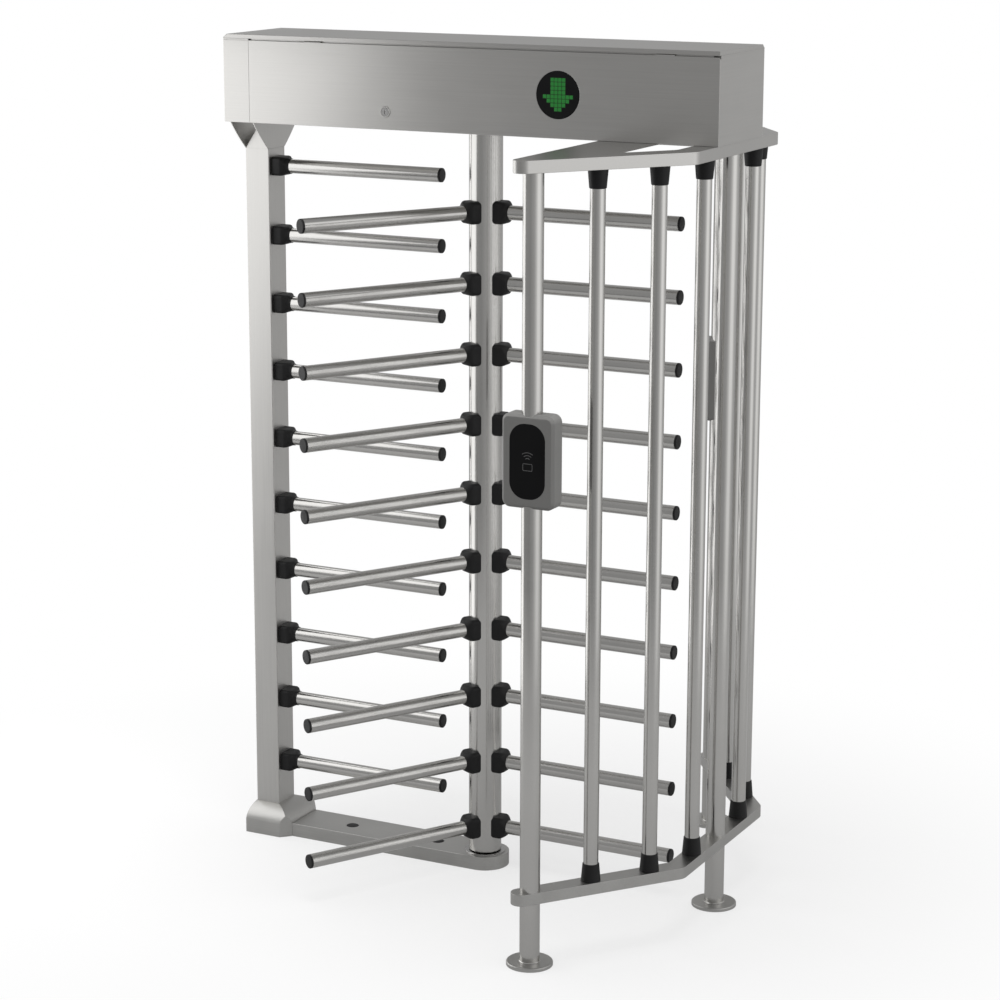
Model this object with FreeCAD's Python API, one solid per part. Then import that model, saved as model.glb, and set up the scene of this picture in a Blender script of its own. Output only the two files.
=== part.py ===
import FreeCAD, Part
import math
import os

# Full height turnstile. All sizes are in millimetres.
# X runs along the header, the front is -Y, Z = 0 is the floor, and the rotor turns about Z.

# Rotor
column_diameter = 88.9
column_wall = 3.0
column_lift = 44.0
wing_count = 3
arms_per_wing = 10
arm_diameter = 38.0
arm_pitch = 187.5
first_arm_height = 114.0
wing_reach = 556.5
cap_length = 5.0
cap_taper = 1.5
sleeve_length = 33.5
sleeve_straight = 17.0
sleeve_root_width = 60.0
sleeve_root_corner = 14.0
sleeve_tip_diameter = 44.0

# Fixed comb on the left post
first_comb_height = 201.0
comb_tip_gap = 128.0
comb_sleeve_length = 41.0
comb_sleeve_width = 54.0
comb_sleeve_corner = 12.0
comb_sleeve_tip_diameter = 48.0
top_bar_drop = 127.2

# Left post with its foot and capital. A flare is an arc whose middle point is given as shares
# of the flare's width and height.
post_width = 73.5
post_depth = 83.0
post_wall = 3.0
foot_height = 81.0
foot_half_depth = 92.5
foot_side_lip = 6.7
foot_toe = 55.8
foot_chamfer = 25.5
foot_flare_out = 0.75
foot_flare_up = 0.62
capital_height = 79.7
capital_half_depth = 118.5
cheek_wall = 3.0
capital_flare_out = 0.55
capital_flare_up = 0.42
gable_rise = 52.0
capital_flange = 3.0

# Base plate and lower pivot
plate_width = 132.0
plate_thickness = 38.0
anchor_near = 147.0
anchor_far = 420.0
anchor_hole_diameter = 18.0
anchor_recess_diameter = 35.0
anchor_recess_depth = 8.0
anchor_cover_thickness = 3.0
anchor_cover_crown = 0.4
pivot_disc_diameter = 112.0
pivot_disc_thickness = 3.0
pivot_pin_diameter = 25.0
pivot_pin_height = 40.0
seal_diameter = 56.0
seal_gap = 0.3
bush_height = 30.0

# Cage
end_post_x = 426.0
end_post_y = 587.6
cage_corner_x = 680.5
cage_corner_y = 256.4
middle_tube_y = 158.9
first_tube_step = 170.6
second_tube_step = 338.0
cage_post_diameter = 51.0
cage_tube_diameter = 38.1
flange_diameter = 118.0
flange_thickness = 10.6
rail_bottom = 166.0
rail_thickness = 30.0
rail_width = 51.5
rail_overhang = 25.0
top_plate_thickness = 31.0
top_plate_band = 53.0
window_band = 37.5
chord_width = 160.0
bridge_half_width = 130.0
window_corner = 12.0
tube_sleeve_length = 46.0
tube_sleeve_root_diameter = 50.0
tube_sleeve_tip_diameter = 42.0

# Reader on each end post
reader_width = 140.0
reader_height = 231.0
reader_front = 27.4
reader_back = 27.0
reader_bottom = 1178.0
reader_corner = 20.0
reader_bevel = 7.0
reader_steps = 4
reader_window_width = 96.0
reader_window_height = 186.0
reader_window_corner = 42.0
reader_window_depth = 1.5
reader_window_lift = 23.5

# Header
header_height = 220.1
header_half_length = 709.3
header_half_depth = 145.5
sheet = 2.0
floor_sheet = 3.0
end_cap_length = 79.3
end_cap_wall = 3.0
end_cap_corner = 4.0
cable_hole_diameter = 30.0
panel_gap = 0.5
seat_gap = 0.3
lip_height = 26.0
lip_inset = 6.0
beam_height = 30.0
beam_width = 30.0
beam_spacing = 214.0
column_clearance = 5.5
cover_edge = 1.5
cover_rise = 9.5
cover_inset = 12.0

# Front door, its hinges and its lock
hinge_drop = 4.5
hinge_inset = 4.0
hinge_pin_diameter = 3.2
knuckle_length = 50.0
knuckle_offset = 500.0
lug_length = 20.0
rail_height = 9.0
rail_depth = 20.0
door_return = 10.0
gasket_height = 7.8
door_rise = 0.5
running_gap = 0.05
indicator_x = 275.3
indicator_height = 109.0
indicator_diameter = 120.5
lens_thickness = 2.0
lens_gap = 0.25
indicator_flange = 6.0
indicator_depth = 26.0
lock_x = 218.5
lock_height = 45.8
lock_ring_diameter = 30.0
lock_plug_diameter = 22.0
lock_barrel_diameter = 18.0
lock_ring_thickness = 2.0
lock_depth = 14.0
cam_thickness = 3.0
cam_width = 12.0
cam_reach = 26.0
keyway_width = 2.2
keyway_height = 9.0

# Mechanism on its plate
mech_plate_length = 400.0
mech_plate_width = 270.0
mech_plate_thickness = 10.0
shaft_diameter = 40.0
shaft_flange_thickness = 6.0
column_top_gap = 2.7
stub_diameter = 20.0
stub_length = 30.0
bearing_outer = 68.0
bearing_width = 15.0
housing_diameter = 86.0
housing_height = 27.0
housing_flange_diameter = 130.0
housing_flange_thickness = 8.0
housing_bolt_circle = 108.0
wheel_diameter = 190.0
wheel_thickness = 12.0
wheel_lift = 37.0
wheel_hub_diameter = 70.0
wheel_hub_height = 22.0
notch_count = 12
notch_width = 14.0
notch_depth = 12.0
pawl_contact_angle = 210.0
pawl_arm = 60.0
pawl_offset = 14.0
pawl_width = 12.0
tooth_width = 12.0
tooth_entry = 8.0
tooth_relief = 1.6
pawl_swing = 12.0
pawl_pin_diameter = 12.0
pawl_pin_shoulder = 20.0
pawl_eye_diameter = 24.0
plunger_arm = 30.0
plunger_diameter = 10.0
plunger_length = 54.0
plunger_rest_gap = 0.5
coil_length = 44.0
coil_width = 40.0
coil_setback = 24.0
coil_rise = 20.0
shelf_lift = 91.0
bracket_sheet = 6.0
bracket_width = 120.0
bracket_wall_y = 104.0
bracket_front = 50.0
bracket_toe = 24.0
bracket_clearance = 4.0
drive_diameter = 90.0
drive_height = 55.0
board_end_gap = 129.3
board_length = 180.0
board_edge = 10.0
board_half_width = 60.0
board_height = 12.0
terminals_start = 23.4
terminals_width = 16.2
terminals_length = 96.0
terminals_height = 26.4
sink_start = 90.0
sink_length = 39.6
sink_width = 40.0
sink_height = 20.4
supply_end_gap = 169.3
supply_length = 180.0
supply_width = 98.0
supply_height = 44.0
carrier_sheet = 2.0
hex_across = 13.0
hex_height = 5.3

# Repeated and hidden round pieces are drawn with flat sides, to keep the model light
tube_sides = 10
post_sides = 16
disc_sides = 24
lens_sides = 32
pin_sides = 8

# Places worked out from the sizes
column_radius = column_diameter / 2
arm_radius = arm_diameter / 2
header_bottom = first_comb_height + arm_pitch * (arms_per_wing - 1) + top_bar_drop
header_top = header_bottom + header_height
post_left = -header_half_length
post_right = post_left + post_width
post_middle = post_left + post_width / 2
foot_right = post_right + foot_toe
capital_bottom = header_bottom - capital_height
rail_top = rail_bottom + rail_thickness
top_plate_bottom = header_bottom - top_plate_thickness
floor_top = header_bottom + floor_sheet
beam_top = floor_top + beam_height
plate_top = beam_top + mech_plate_thickness
column_top = beam_top - column_top_gap - shaft_flange_thickness
wheel_bottom = plate_top + wheel_lift
shelf_bottom = plate_top + shelf_lift
sleeve_end = column_radius + sleeve_length
end_cap_right = post_left + end_cap_length
hinge_y = -header_half_depth + hinge_inset
hinge_z = header_top - hinge_drop
indicator_z = header_bottom + indicator_height
lock_z = header_bottom + lock_height


def vec(x, y, z=0.0):
    return FreeCAD.Vector(x, y, z)


def block(x0, x1, y0, y1, z0, z1):
    return Part.makeBox(x1 - x0, y1 - y0, z1 - z0, vec(x0, y0, z0))


def rod(radius, start, direction, length):
    return Part.makeCylinder(radius, length, start, direction)


def upright(radius, x, y, z0, z1):
    return rod(radius, vec(x, y, z0), vec(0, 0, 1), z1 - z0)


def ring_points(radius, centre, along, sides):
    # Corners of a regular polygon across a direction, one of them straight up or along X.
    if abs(along.z) > 0.5:
        first = vec(1, 0, 0)
    else:
        first = vec(0, 0, 1)
    second = along.cross(first)
    points = []
    for i in range(sides):
        angle = 2 * math.pi * i / sides
        offset = first * (radius * math.cos(angle)) + second * (radius * math.sin(angle))
        points.append(centre + offset)
    return points


def polygon_face(points):
    return Part.Face(Part.makePolygon(points + [points[0]]))


def faceted(root, tip, start, along, length, sides):
    # A straight or tapered bar with flat sides, from radius root to radius tip.
    return skin(ring_points(root, start, along, sides),
                ring_points(tip, start + along * length, along, sides))


def bar(radius, start, along, length, sides):
    return faceted(radius, radius, start, along, length, sides)


def upright_bar(radius, x, y, z0, z1, sides):
    return bar(radius, vec(x, y, z0), vec(0, 0, 1), z1 - z0, sides)


def upright_hole(radius, x, y, z0, z1, sides):
    # A cutter whose flat sides lie no nearer to the axis than radius.
    return upright_bar(radius / math.cos(math.pi / sides), x, y, z0, z1, sides)


def prism(points, extrusion):
    wire = Part.makePolygon(points + [points[0]])
    return Part.Face(wire).extrude(extrusion)


def mirrored_x(shape):
    return shape.mirror(vec(0, 0, 0), vec(1, 0, 0))


def mirrored_y(shape):
    return shape.mirror(vec(0, 0, 0), vec(0, 1, 0))


def group(shapes):
    return Part.makeCompound(shapes)


def rounded_outline(half_width, half_height, radius, steps, place):
    # A rounded rectangle with flat steps for its corners: place turns two flat coordinates
    # into a point.
    points = []
    for index, (sx, sy) in enumerate([(1, 1), (-1, 1), (-1, -1), (1, -1)]):
        for step in range(steps + 1):
            angle = math.pi / 2 * (index + step / steps)
            points.append(place(sx * (half_width - radius) + radius * math.cos(angle),
                                sy * (half_height - radius) + radius * math.sin(angle)))
    return points


def skin(near, far):
    # The solid between two outlines that have the same number of points.
    faces = [polygon_face(near), polygon_face(far)]
    for i in range(len(near)):
        j = (i + 1) % len(near)
        faces.append(polygon_face([near[i], near[j], far[j], far[i]]))
    solid = Part.makeSolid(Part.Shell(faces))
    if solid.Volume < 0:
        solid.reverse()
    return solid


def hex_head(x, y, z):
    return prism([vec(x + hex_across / math.sqrt(3) * math.cos(math.radians(60 * i)),
                      y + hex_across / math.sqrt(3) * math.sin(math.radians(60 * i)), z)
                  for i in range(6)], vec(0, 0, hex_height))


# The cage plan: a rail from the rear end post over two corners to the front end post.

def cage_direction():
    run = vec(cage_corner_x - end_post_x, end_post_y - cage_corner_y)
    return run.normalize()


def cage_point(step, side):
    # A point on the slanted rail, so far from the end post; side is -1 at the front.
    along = cage_direction()
    return vec(end_post_x + along.x * step, side * (end_post_y - along.y * step))


def cage_posts_plan():
    return [cage_point(0, -1), vec(cage_corner_x, 0), cage_point(0, 1)]


def cage_tubes_plan():
    plan = []
    for side in (-1, 1):
        plan += [cage_point(first_tube_step, side), cage_point(second_tube_step, side)]
        plan.append(vec(cage_corner_x, side * middle_tube_y))
    return plan


def offset_corner(distance, side):
    # The mitre of the slanted and the straight rail, moved outward by distance.
    along = cage_direction()
    outward = vec(along.y, side * along.x)
    mitre = outward.add(vec(1, 0))
    scale = distance / (1 + outward.x)
    return vec(cage_corner_x + mitre.x * scale, side * cage_corner_y + mitre.y * scale)


def rail_end(width, side):
    # Outer point, tip, leftmost point and inner point of the rounded end, with its centre.
    along = cage_direction()
    centre = cage_point(-rail_overhang, side)
    r = width / 2
    outward = vec(along.y * r, side * along.x * r)
    tip = vec(centre.x - along.x * r, centre.y + side * along.y * r)
    return centre.add(outward), tip, vec(centre.x - r, centre.y), centre.sub(outward)


def line_edge(a, b):
    return Part.LineSegment(a, b).toShape()


def arc_edge(a, b, c):
    return Part.Arc(a, b, c).toShape()


def make_bottom_rail():
    front_out, front_tip, _, front_in = rail_end(rail_width, -1)
    rear_out, rear_tip, _, rear_in = rail_end(rail_width, 1)
    half = rail_width / 2
    edges = [arc_edge(front_in, front_tip, front_out),
             line_edge(front_out, offset_corner(half, -1)),
             line_edge(offset_corner(half, -1), offset_corner(half, 1)),
             line_edge(offset_corner(half, 1), rear_out),
             arc_edge(rear_out, rear_tip, rear_in),
             line_edge(rear_in, offset_corner(-half, 1)),
             line_edge(offset_corner(-half, 1), offset_corner(-half, -1)),
             line_edge(offset_corner(-half, -1), front_in)]
    rail = Part.Face(Part.Wire(edges)).extrude(vec(0, 0, rail_thickness))
    rail.translate(vec(0, 0, rail_bottom))
    return rail


def make_top_window(side):
    # The opening between the chord, the outer band and the bridge under the header.
    along = cage_direction()
    left = end_post_x - rail_overhang * along.x - top_plate_band / 2 + chord_width
    corner = offset_corner(-window_band, side)
    drop = (corner.x - left) * along.y / along.x
    points = [vec(left, side * bridge_half_width), vec(corner.x, side * bridge_half_width),
              corner, vec(left, corner.y + side * drop)]
    window = prism(points, vec(0, 0, top_plate_thickness + 2))
    upright_edges = [e for e in window.Edges if abs(e.Length - top_plate_thickness - 2) < 1e-6]
    return window.makeChamfer(window_corner, upright_edges)


def make_top_plate():
    front_out, front_tip, front_left, _ = rail_end(top_plate_band, -1)
    rear_out, rear_tip, rear_left, _ = rail_end(top_plate_band, 1)
    half = top_plate_band / 2
    edges = [arc_edge(front_left, front_tip, front_out),
             line_edge(front_out, offset_corner(half, -1)),
             line_edge(offset_corner(half, -1), offset_corner(half, 1)),
             line_edge(offset_corner(half, 1), rear_out),
             arc_edge(rear_out, rear_tip, rear_left),
             line_edge(rear_left, front_left)]
    plate = Part.Face(Part.Wire(edges)).extrude(vec(0, 0, top_plate_thickness))
    for side in (-1, 1):
        window = make_top_window(side)
        window.translate(vec(0, 0, -1))
        plate = plate.cut(window)
    plate.translate(vec(0, 0, top_plate_bottom))
    return plate


def make_floor_flange(place):
    return upright_bar(flange_diameter / 2, place.x, place.y, 0, flange_thickness, disc_sides)


def make_cage():
    post_r = cage_post_diameter / 2
    tube_r = cage_tube_diameter / 2
    root, tip = tube_sleeve_root_diameter / 2, tube_sleeve_tip_diameter / 2
    lower_end = rail_top + tube_sleeve_length
    upper_end = top_plate_bottom - tube_sleeve_length
    posts, tubes = cage_posts_plan(), cage_tubes_plan()
    return {
        "bottom_rail": make_bottom_rail(),
        "top_plate": make_top_plate(),
        "floor_flanges": group([make_floor_flange(p) for p in posts]),
        "lower_posts": group([upright_bar(post_r, p.x, p.y, flange_thickness, rail_bottom,
                                          post_sides) for p in posts]),
        "cage_posts": group([upright_bar(post_r, p.x, p.y, rail_top, top_plate_bottom,
                                         post_sides) for p in posts]),
        "cage_tubes": group([upright_bar(tube_r, p.x, p.y, lower_end, upper_end,
                                         post_sides) for p in tubes]),
        "lower_tube_sleeves": group([faceted(root, tip, vec(p.x, p.y, rail_top), vec(0, 0, 1),
                                             tube_sleeve_length, tube_sides) for p in tubes]),
        "upper_tube_sleeves": group([faceted(tip, root, vec(p.x, p.y, upper_end), vec(0, 0, 1),
                                             tube_sleeve_length, tube_sides) for p in tubes]),
    }


# Readers: a housing clamped round each end post, with a dark window.

def make_reader():
    # The front reader, facing -Y.
    middle_z = reader_bottom + reader_height / 2

    def outline(inset, y):
        return rounded_outline(reader_width / 2 - inset, reader_height / 2 - inset,
                               reader_corner - inset, reader_steps,
                               lambda a, b: vec(end_post_x + a, y, middle_z + b))

    front_y = -end_post_y - reader_front
    back_y = -end_post_y + reader_back
    housing = skin(outline(0, front_y + reader_bevel), outline(0, back_y - reader_bevel))
    nose = skin(outline(reader_bevel, front_y), outline(0, front_y + reader_bevel))
    back = skin(outline(0, back_y - reader_bevel), outline(reader_bevel, back_y))
    housing = housing.fuse([nose, back]).removeSplitter()
    bore = upright_bar(cage_post_diameter / 2, end_post_x, -end_post_y,
                       reader_bottom - 1, reader_bottom + reader_height + 1, post_sides)
    window_z = reader_bottom + reader_window_lift + reader_window_height / 2

    def pill(y):
        return rounded_outline(reader_window_width / 2, reader_window_height / 2,
                               reader_window_corner, reader_steps,
                               lambda a, b: vec(end_post_x + a, y, window_z + b))

    window = skin(pill(front_y), pill(front_y + reader_window_depth))
    return housing.cut([bore, window]), window


# Rotor

def turned(shape, degrees):
    copy = shape.copy()
    copy.rotate(vec(0, 0, 0), vec(0, 0, 1), degrees)
    return copy


def sleeve_section(x, half_width, corner, z):
    # A square with cut corners, across the arm.
    return rounded_outline(half_width, half_width, corner, 1, lambda a, b: vec(x, a, z + b))


def octagon_corner(half_width):
    return half_width * (2 - math.sqrt(2))


def make_wing():
    # Arms, sleeves and caps of the wing that points along +X. A sleeve is square where it
    # meets the column and narrows to a round lip, here an octagon.
    column = upright_hole(column_radius, 0, 0, 0, header_bottom, tube_sides)
    arms, sleeves, caps = [], [], []
    along = vec(1, 0, 0)
    root, tip = sleeve_root_width / 2, sleeve_tip_diameter / 2
    root_x = math.sqrt(column_radius ** 2 - root ** 2) - 1
    shoulder_x = column_radius + sleeve_straight
    tube_end = wing_reach - cap_length
    for k in range(arms_per_wing):
        z = first_arm_height + arm_pitch * k
        shoulder = sleeve_section(shoulder_x, root, sleeve_root_corner, z)
        sleeve = skin(sleeve_section(root_x, root, sleeve_root_corner, z), shoulder)
        sleeve = sleeve.fuse(skin(shoulder, sleeve_section(sleeve_end, tip, octagon_corner(tip), z)))
        sleeves.append(sleeve.cut(column).removeSplitter())
        arms.append(bar(arm_radius, vec(sleeve_end, 0, z), along, tube_end - sleeve_end,
                        tube_sides))
        caps.append(faceted(arm_radius, arm_radius - cap_taper, vec(tube_end, 0, z), along,
                            cap_length, tube_sides))
    return arms, sleeves, caps


def make_rotor():
    nodes = {}
    arms, sleeves, caps = make_wing()
    step = 360.0 / wing_count
    all_sleeves, all_caps = [], []
    for index in range(wing_count):
        letter = "abcdefgh"[index]
        nodes["wing_%s_arms" % letter] = turned(group(arms), step * index)
        all_sleeves += [turned(s, step * index) for s in sleeves]
        all_caps += [turned(c, step * index) for c in caps]
    nodes["wing_sleeves"] = group(all_sleeves)
    nodes["wing_end_caps"] = group(all_caps)
    inner = column_radius - column_wall
    column = upright(column_radius, 0, 0, column_lift, column_top)
    nodes["rotor_column"] = column.cut(upright(inner, 0, 0, column_lift - 1, column_top + 1))
    bush = upright_bar(inner, 0, 0, column_lift, column_lift + bush_height, post_sides)
    pin = upright_hole(pivot_pin_diameter / 2 + running_gap, 0, 0, 0,
                       column_lift + bush_height + 1, post_sides)
    nodes["pivot_bush"] = bush.cut(pin)
    shaft = upright_bar(column_radius, 0, 0, column_top, column_top + shaft_flange_thickness,
                        disc_sides)
    shaft = shaft.fuse(upright_bar(shaft_diameter / 2, 0, 0, column_top, shelf_bottom - 1,
                                   disc_sides))
    shaft = shaft.fuse(upright_bar(stub_diameter / 2, 0, 0, column_top,
                                   shelf_bottom + bracket_sheet + stub_length, tube_sides))
    nodes["rotor_shaft"] = shaft.removeSplitter()
    nodes["locking_wheel"] = make_locking_wheel()
    return nodes


def make_locking_wheel():
    top = wheel_bottom + wheel_thickness
    hub_bottom = wheel_bottom - (wheel_hub_height - wheel_thickness) / 2
    wheel = upright_bar(wheel_diameter / 2, 0, 0, wheel_bottom, top, disc_sides)
    reach = wheel_diameter / 2
    notch = block(reach - notch_depth, reach + 1, -notch_width / 2, notch_width / 2,
                  wheel_bottom - 1, top + 1)
    wheel = wheel.cut([turned(notch, 360.0 / notch_count * i) for i in range(notch_count)])
    wheel = wheel.fuse(upright_bar(wheel_hub_diameter / 2, 0, 0, hub_bottom,
                                   hub_bottom + wheel_hub_height, post_sides))
    return wheel.cut(upright_hole(shaft_diameter / 2, 0, 0, hub_bottom - 1,
                                  top + wheel_hub_height, post_sides))


# Base plate, pivot, left post and comb

def make_base():
    half = plate_width / 2
    edges = [line_edge(vec(0, -half), vec(foot_right, -half)),
             line_edge(vec(foot_right, -half), vec(foot_right, half)),
             line_edge(vec(foot_right, half), vec(0, half)),
             arc_edge(vec(0, half), vec(half, 0), vec(0, -half))]
    plate = Part.Face(Part.Wire(edges)).extrude(vec(0, 0, plate_thickness))
    covers = []
    recess_bottom = plate_thickness - anchor_recess_depth
    for x in (-anchor_near, -anchor_far):
        hole = upright(anchor_hole_diameter / 2, x, 0, -1, plate_thickness)
        recess = upright_bar(anchor_recess_diameter / 2, x, 0, recess_bottom,
                             plate_thickness + 1, post_sides)
        plate = plate.cut([hole, recess])
        covers.append(upright_bar(anchor_recess_diameter / 2, x, 0,
                                  plate_thickness - anchor_cover_thickness,
                                  plate_thickness + anchor_cover_crown, post_sides))
    disc_top = plate_thickness + pivot_disc_thickness
    disc = upright_bar(pivot_disc_diameter / 2, 0, 0, plate_thickness, disc_top, disc_sides)
    pin = upright_bar(pivot_pin_diameter / 2, 0, 0, plate_thickness,
                      plate_thickness + pivot_pin_height, post_sides)
    seal = upright_bar(seal_diameter / 2, 0, 0, disc_top, column_lift - seal_gap, post_sides)
    bore = upright_hole(pivot_pin_diameter / 2, 0, 0, 0, column_lift, post_sides)
    return {"base_plate": plate, "anchor_covers": group(covers),
            "pivot_disc": disc.fuse(pin).removeSplitter(),
            "pivot_seal": seal.cut(bore)}


def make_foot():
    # Two curved profiles crossed, so that the flare meets in mitred corners.
    half = post_depth / 2
    bulge_y = half + (foot_half_depth - half) * foot_flare_out
    bulge_z = plate_thickness + (foot_height - plate_thickness) * foot_flare_up
    low, high = plate_thickness, foot_height
    left, right = post_left - foot_side_lip, foot_right
    across = Part.Wire([
        line_edge(vec(left, -foot_half_depth, 0), vec(left, foot_half_depth, 0)),
        line_edge(vec(left, foot_half_depth, 0), vec(left, foot_half_depth, low)),
        arc_edge(vec(left, foot_half_depth, low), vec(left, bulge_y, bulge_z),
                 vec(left, half, high)),
        line_edge(vec(left, half, high), vec(left, -half, high)),
        arc_edge(vec(left, -half, high), vec(left, -bulge_y, bulge_z),
                 vec(left, -foot_half_depth, low)),
        line_edge(vec(left, -foot_half_depth, low), vec(left, -foot_half_depth, 0))])
    body = Part.Face(across).extrude(vec(right - left, 0, 0))
    y = -foot_half_depth - 1
    toe_bulge = post_right + foot_toe * foot_flare_out
    lip_bulge = post_left - foot_side_lip * foot_flare_out
    along = Part.Wire([
        line_edge(vec(left, y, 0), vec(right, y, 0)),
        line_edge(vec(right, y, 0), vec(right, y, low)),
        arc_edge(vec(right, y, low), vec(toe_bulge, y, bulge_z), vec(post_right, y, high)),
        line_edge(vec(post_right, y, high), vec(post_left, y, high)),
        arc_edge(vec(post_left, y, high), vec(lip_bulge, y, bulge_z), vec(left, y, low)),
        line_edge(vec(left, y, low), vec(left, y, 0))])
    foot = body.common(Part.Face(along).extrude(vec(0, -2 * y, 0)))
    # The toe's corners are cut off at 45 degrees, by wedges 1 mm larger all round.
    cut = foot_chamfer + 2
    for side in (-1, 1):
        edge_y = side * (foot_half_depth + 1)
        foot = foot.cut(prism([vec(right + 1, edge_y, -1), vec(right + 1 - cut, edge_y, -1),
                               vec(right + 1, edge_y - side * cut, -1)],
                              vec(0, 0, foot_height + 2)))
    return foot.cut(block(post_left, post_right, -half, half, -1, foot_height + 1))


def make_capital():
    # Two flared cheeks, a gable on the front and the back, and a flange under the header.
    half = post_depth / 2
    flare = capital_half_depth - half
    mid = vec(0, half + flare * capital_flare_out,
              capital_bottom + capital_height * capital_flare_up)

    def cheek(x):
        low, top = capital_bottom, header_bottom
        edges = [line_edge(vec(x, -half, low), vec(x, half, low)),
                 arc_edge(vec(x, half, low), vec(x, mid.y, mid.z), vec(x, capital_half_depth, top)),
                 line_edge(vec(x, capital_half_depth, top), vec(x, -capital_half_depth, top)),
                 arc_edge(vec(x, -capital_half_depth, top), vec(x, -mid.y, mid.z),
                          vec(x, -half, low))]
        return Part.Face(Part.Wire(edges)).extrude(vec(cheek_wall, 0, 0))

    solids = [cheek(post_left), cheek(post_right - cheek_wall)]
    for y in (-half, half - post_wall):
        gable = [vec(post_left, y, capital_bottom), vec(post_right, y, capital_bottom),
                 vec(post_middle, y, capital_bottom + gable_rise)]
        solids.append(prism(gable, vec(0, post_wall, 0)))
    solids.append(block(post_left, post_right, -half, half,
                        header_bottom - capital_flange, header_bottom))
    capital = solids[0].fuse(solids[1:])
    hole = upright_bar(cable_hole_diameter / 2, post_middle, 0, capital_bottom,
                       header_bottom + 1, tube_sides)
    return capital.cut(hole).removeSplitter()


def make_left_post():
    half = post_depth / 2
    post = block(post_left, post_right, -half, half, 0, capital_bottom)
    inner = block(post_left + post_wall, post_right - post_wall, -half + post_wall,
                  half - post_wall, -1, capital_bottom + 1)
    return post.cut(inner)


def make_comb():
    arms, sleeves, caps = [], [], []
    along = vec(1, 0, 0)
    root, tip = comb_sleeve_width / 2, comb_sleeve_tip_diameter / 2
    sleeve_tip = post_right + comb_sleeve_length
    tube_end = -comb_tip_gap - cap_length
    for k in range(arms_per_wing):
        z = first_comb_height + arm_pitch * k
        sleeves.append(skin(sleeve_section(post_right, root, comb_sleeve_corner, z),
                            sleeve_section(sleeve_tip, tip, octagon_corner(tip), z)))
        arms.append(bar(arm_radius, vec(sleeve_tip, 0, z), along, tube_end - sleeve_tip,
                        tube_sides))
        caps.append(faceted(arm_radius, arm_radius - cap_taper, vec(tube_end, 0, z), along,
                            cap_length, tube_sides))
    return {"comb_arms": group(arms), "comb_sleeves": group(sleeves),
            "comb_end_caps": group(caps)}


# Header casing

def casing_plan(left, right, half_depth, corner, z):
    # The plan of the casing, with its two rounded corners at the left end.
    bulge = corner * (1 - math.sqrt(0.5))
    y = half_depth
    return Part.Wire([
        line_edge(vec(right, -y, z), vec(right, y, z)),
        line_edge(vec(right, y, z), vec(left + corner, y, z)),
        arc_edge(vec(left + corner, y, z), vec(left + bulge, y - bulge, z),
                 vec(left, y - corner, z)),
        line_edge(vec(left, y - corner, z), vec(left, -y + corner, z)),
        arc_edge(vec(left, -y + corner, z), vec(left + bulge, -y + bulge, z),
                 vec(left + corner, -y, z)),
        line_edge(vec(left + corner, -y, z), vec(right, -y, z))])


def make_end_cap():
    wall = end_cap_wall
    outline = casing_plan(post_left, end_cap_right, header_half_depth, end_cap_corner,
                          header_bottom)
    outer = Part.Face(outline).extrude(vec(0, 0, header_height))
    outline = casing_plan(post_left + wall, end_cap_right + wall, header_half_depth - wall,
                          end_cap_corner - wall, floor_top)
    inner = Part.Face(outline).extrude(vec(0, 0, header_height))
    hole = upright_bar(cable_hole_diameter / 2, post_middle, 0, header_bottom - 1,
                       floor_top + 1, tube_sides)
    return outer.cut([inner, hole])


def make_header_floor():
    # The floor sheet with a lip standing along its front and its rear edge.
    front = -header_half_depth + sheet + seat_gap
    rear = header_half_depth - sheet
    right = header_half_length - sheet
    floor = block(end_cap_right, right, front, rear, header_bottom, floor_top)
    lips = []
    for side in (-1, 1):
        y = side * (header_half_depth - lip_inset)
        inner = y - side * sheet
        lips.append(block(end_cap_right + panel_gap, right, min(y, inner), max(y, inner),
                          floor_top, floor_top + lip_height))
    hole = upright(column_radius + column_clearance, 0, 0, header_bottom - 1, floor_top + 1)
    return group([floor.cut(hole)] + lips)


def make_beams():
    beams = []
    for side in (-1, 1):
        y = side * beam_spacing / 2
        beams.append(block(post_left + end_cap_wall + seat_gap, header_half_length - sheet,
                           y - beam_width / 2, y + beam_width / 2, floor_top, beam_top))
    return group(beams)


def make_rear_panel():
    y = header_half_depth
    panel = block(end_cap_right + panel_gap, header_half_length, y - sheet, y,
                  header_bottom, header_top)
    hole = bar(indicator_diameter / 2, vec(indicator_x, y - sheet - 1, indicator_z),
               vec(0, 1, 0), sheet + 2, lens_sides)
    return panel.cut(hole)


def make_right_end():
    x = header_half_length
    front = -header_half_depth + sheet + seat_gap
    rear = header_half_depth - sheet
    plate = block(x - sheet, x, front, rear, header_bottom, header_top)
    ledge = block(x - door_return * 2, x, front, rear, header_top - sheet, header_top)
    # The front top corner stays clear of the door's top edge as it swings up.
    corner = block(x - door_return * 2 - 1, x + 1, front - 1, hinge_y + hinge_inset + panel_gap,
                   hinge_z - hinge_inset, header_top + 1)
    return plate.fuse(ledge).cut(corner).removeSplitter()


def cover_outline(inset, z):
    return casing_plan(post_left + inset, header_half_length - inset,
                       header_half_depth - inset, end_cap_corner, z)


def make_top_cover():
    shoulder = header_top + cover_edge
    edge = Part.makeLoft([cover_outline(0, header_top), cover_outline(0, shoulder)], True, True)
    bevel = Part.makeLoft([cover_outline(0, shoulder),
                           cover_outline(cover_inset, shoulder + cover_rise)], True, True)
    cover = edge.fuse(bevel).removeSplitter()
    inset = cover_inset + sheet
    y = header_half_depth - inset
    pocket = block(post_left + inset, header_half_length - inset, -y, y,
                   header_top - 1, shoulder + cover_rise - sheet)
    return cover.cut(pocket)


# Front door with its hinge rail, indicator and lock

def hinge_starts():
    middle = (end_cap_right + header_half_length) / 2
    return [middle - knuckle_offset, middle + knuckle_offset]


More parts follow.
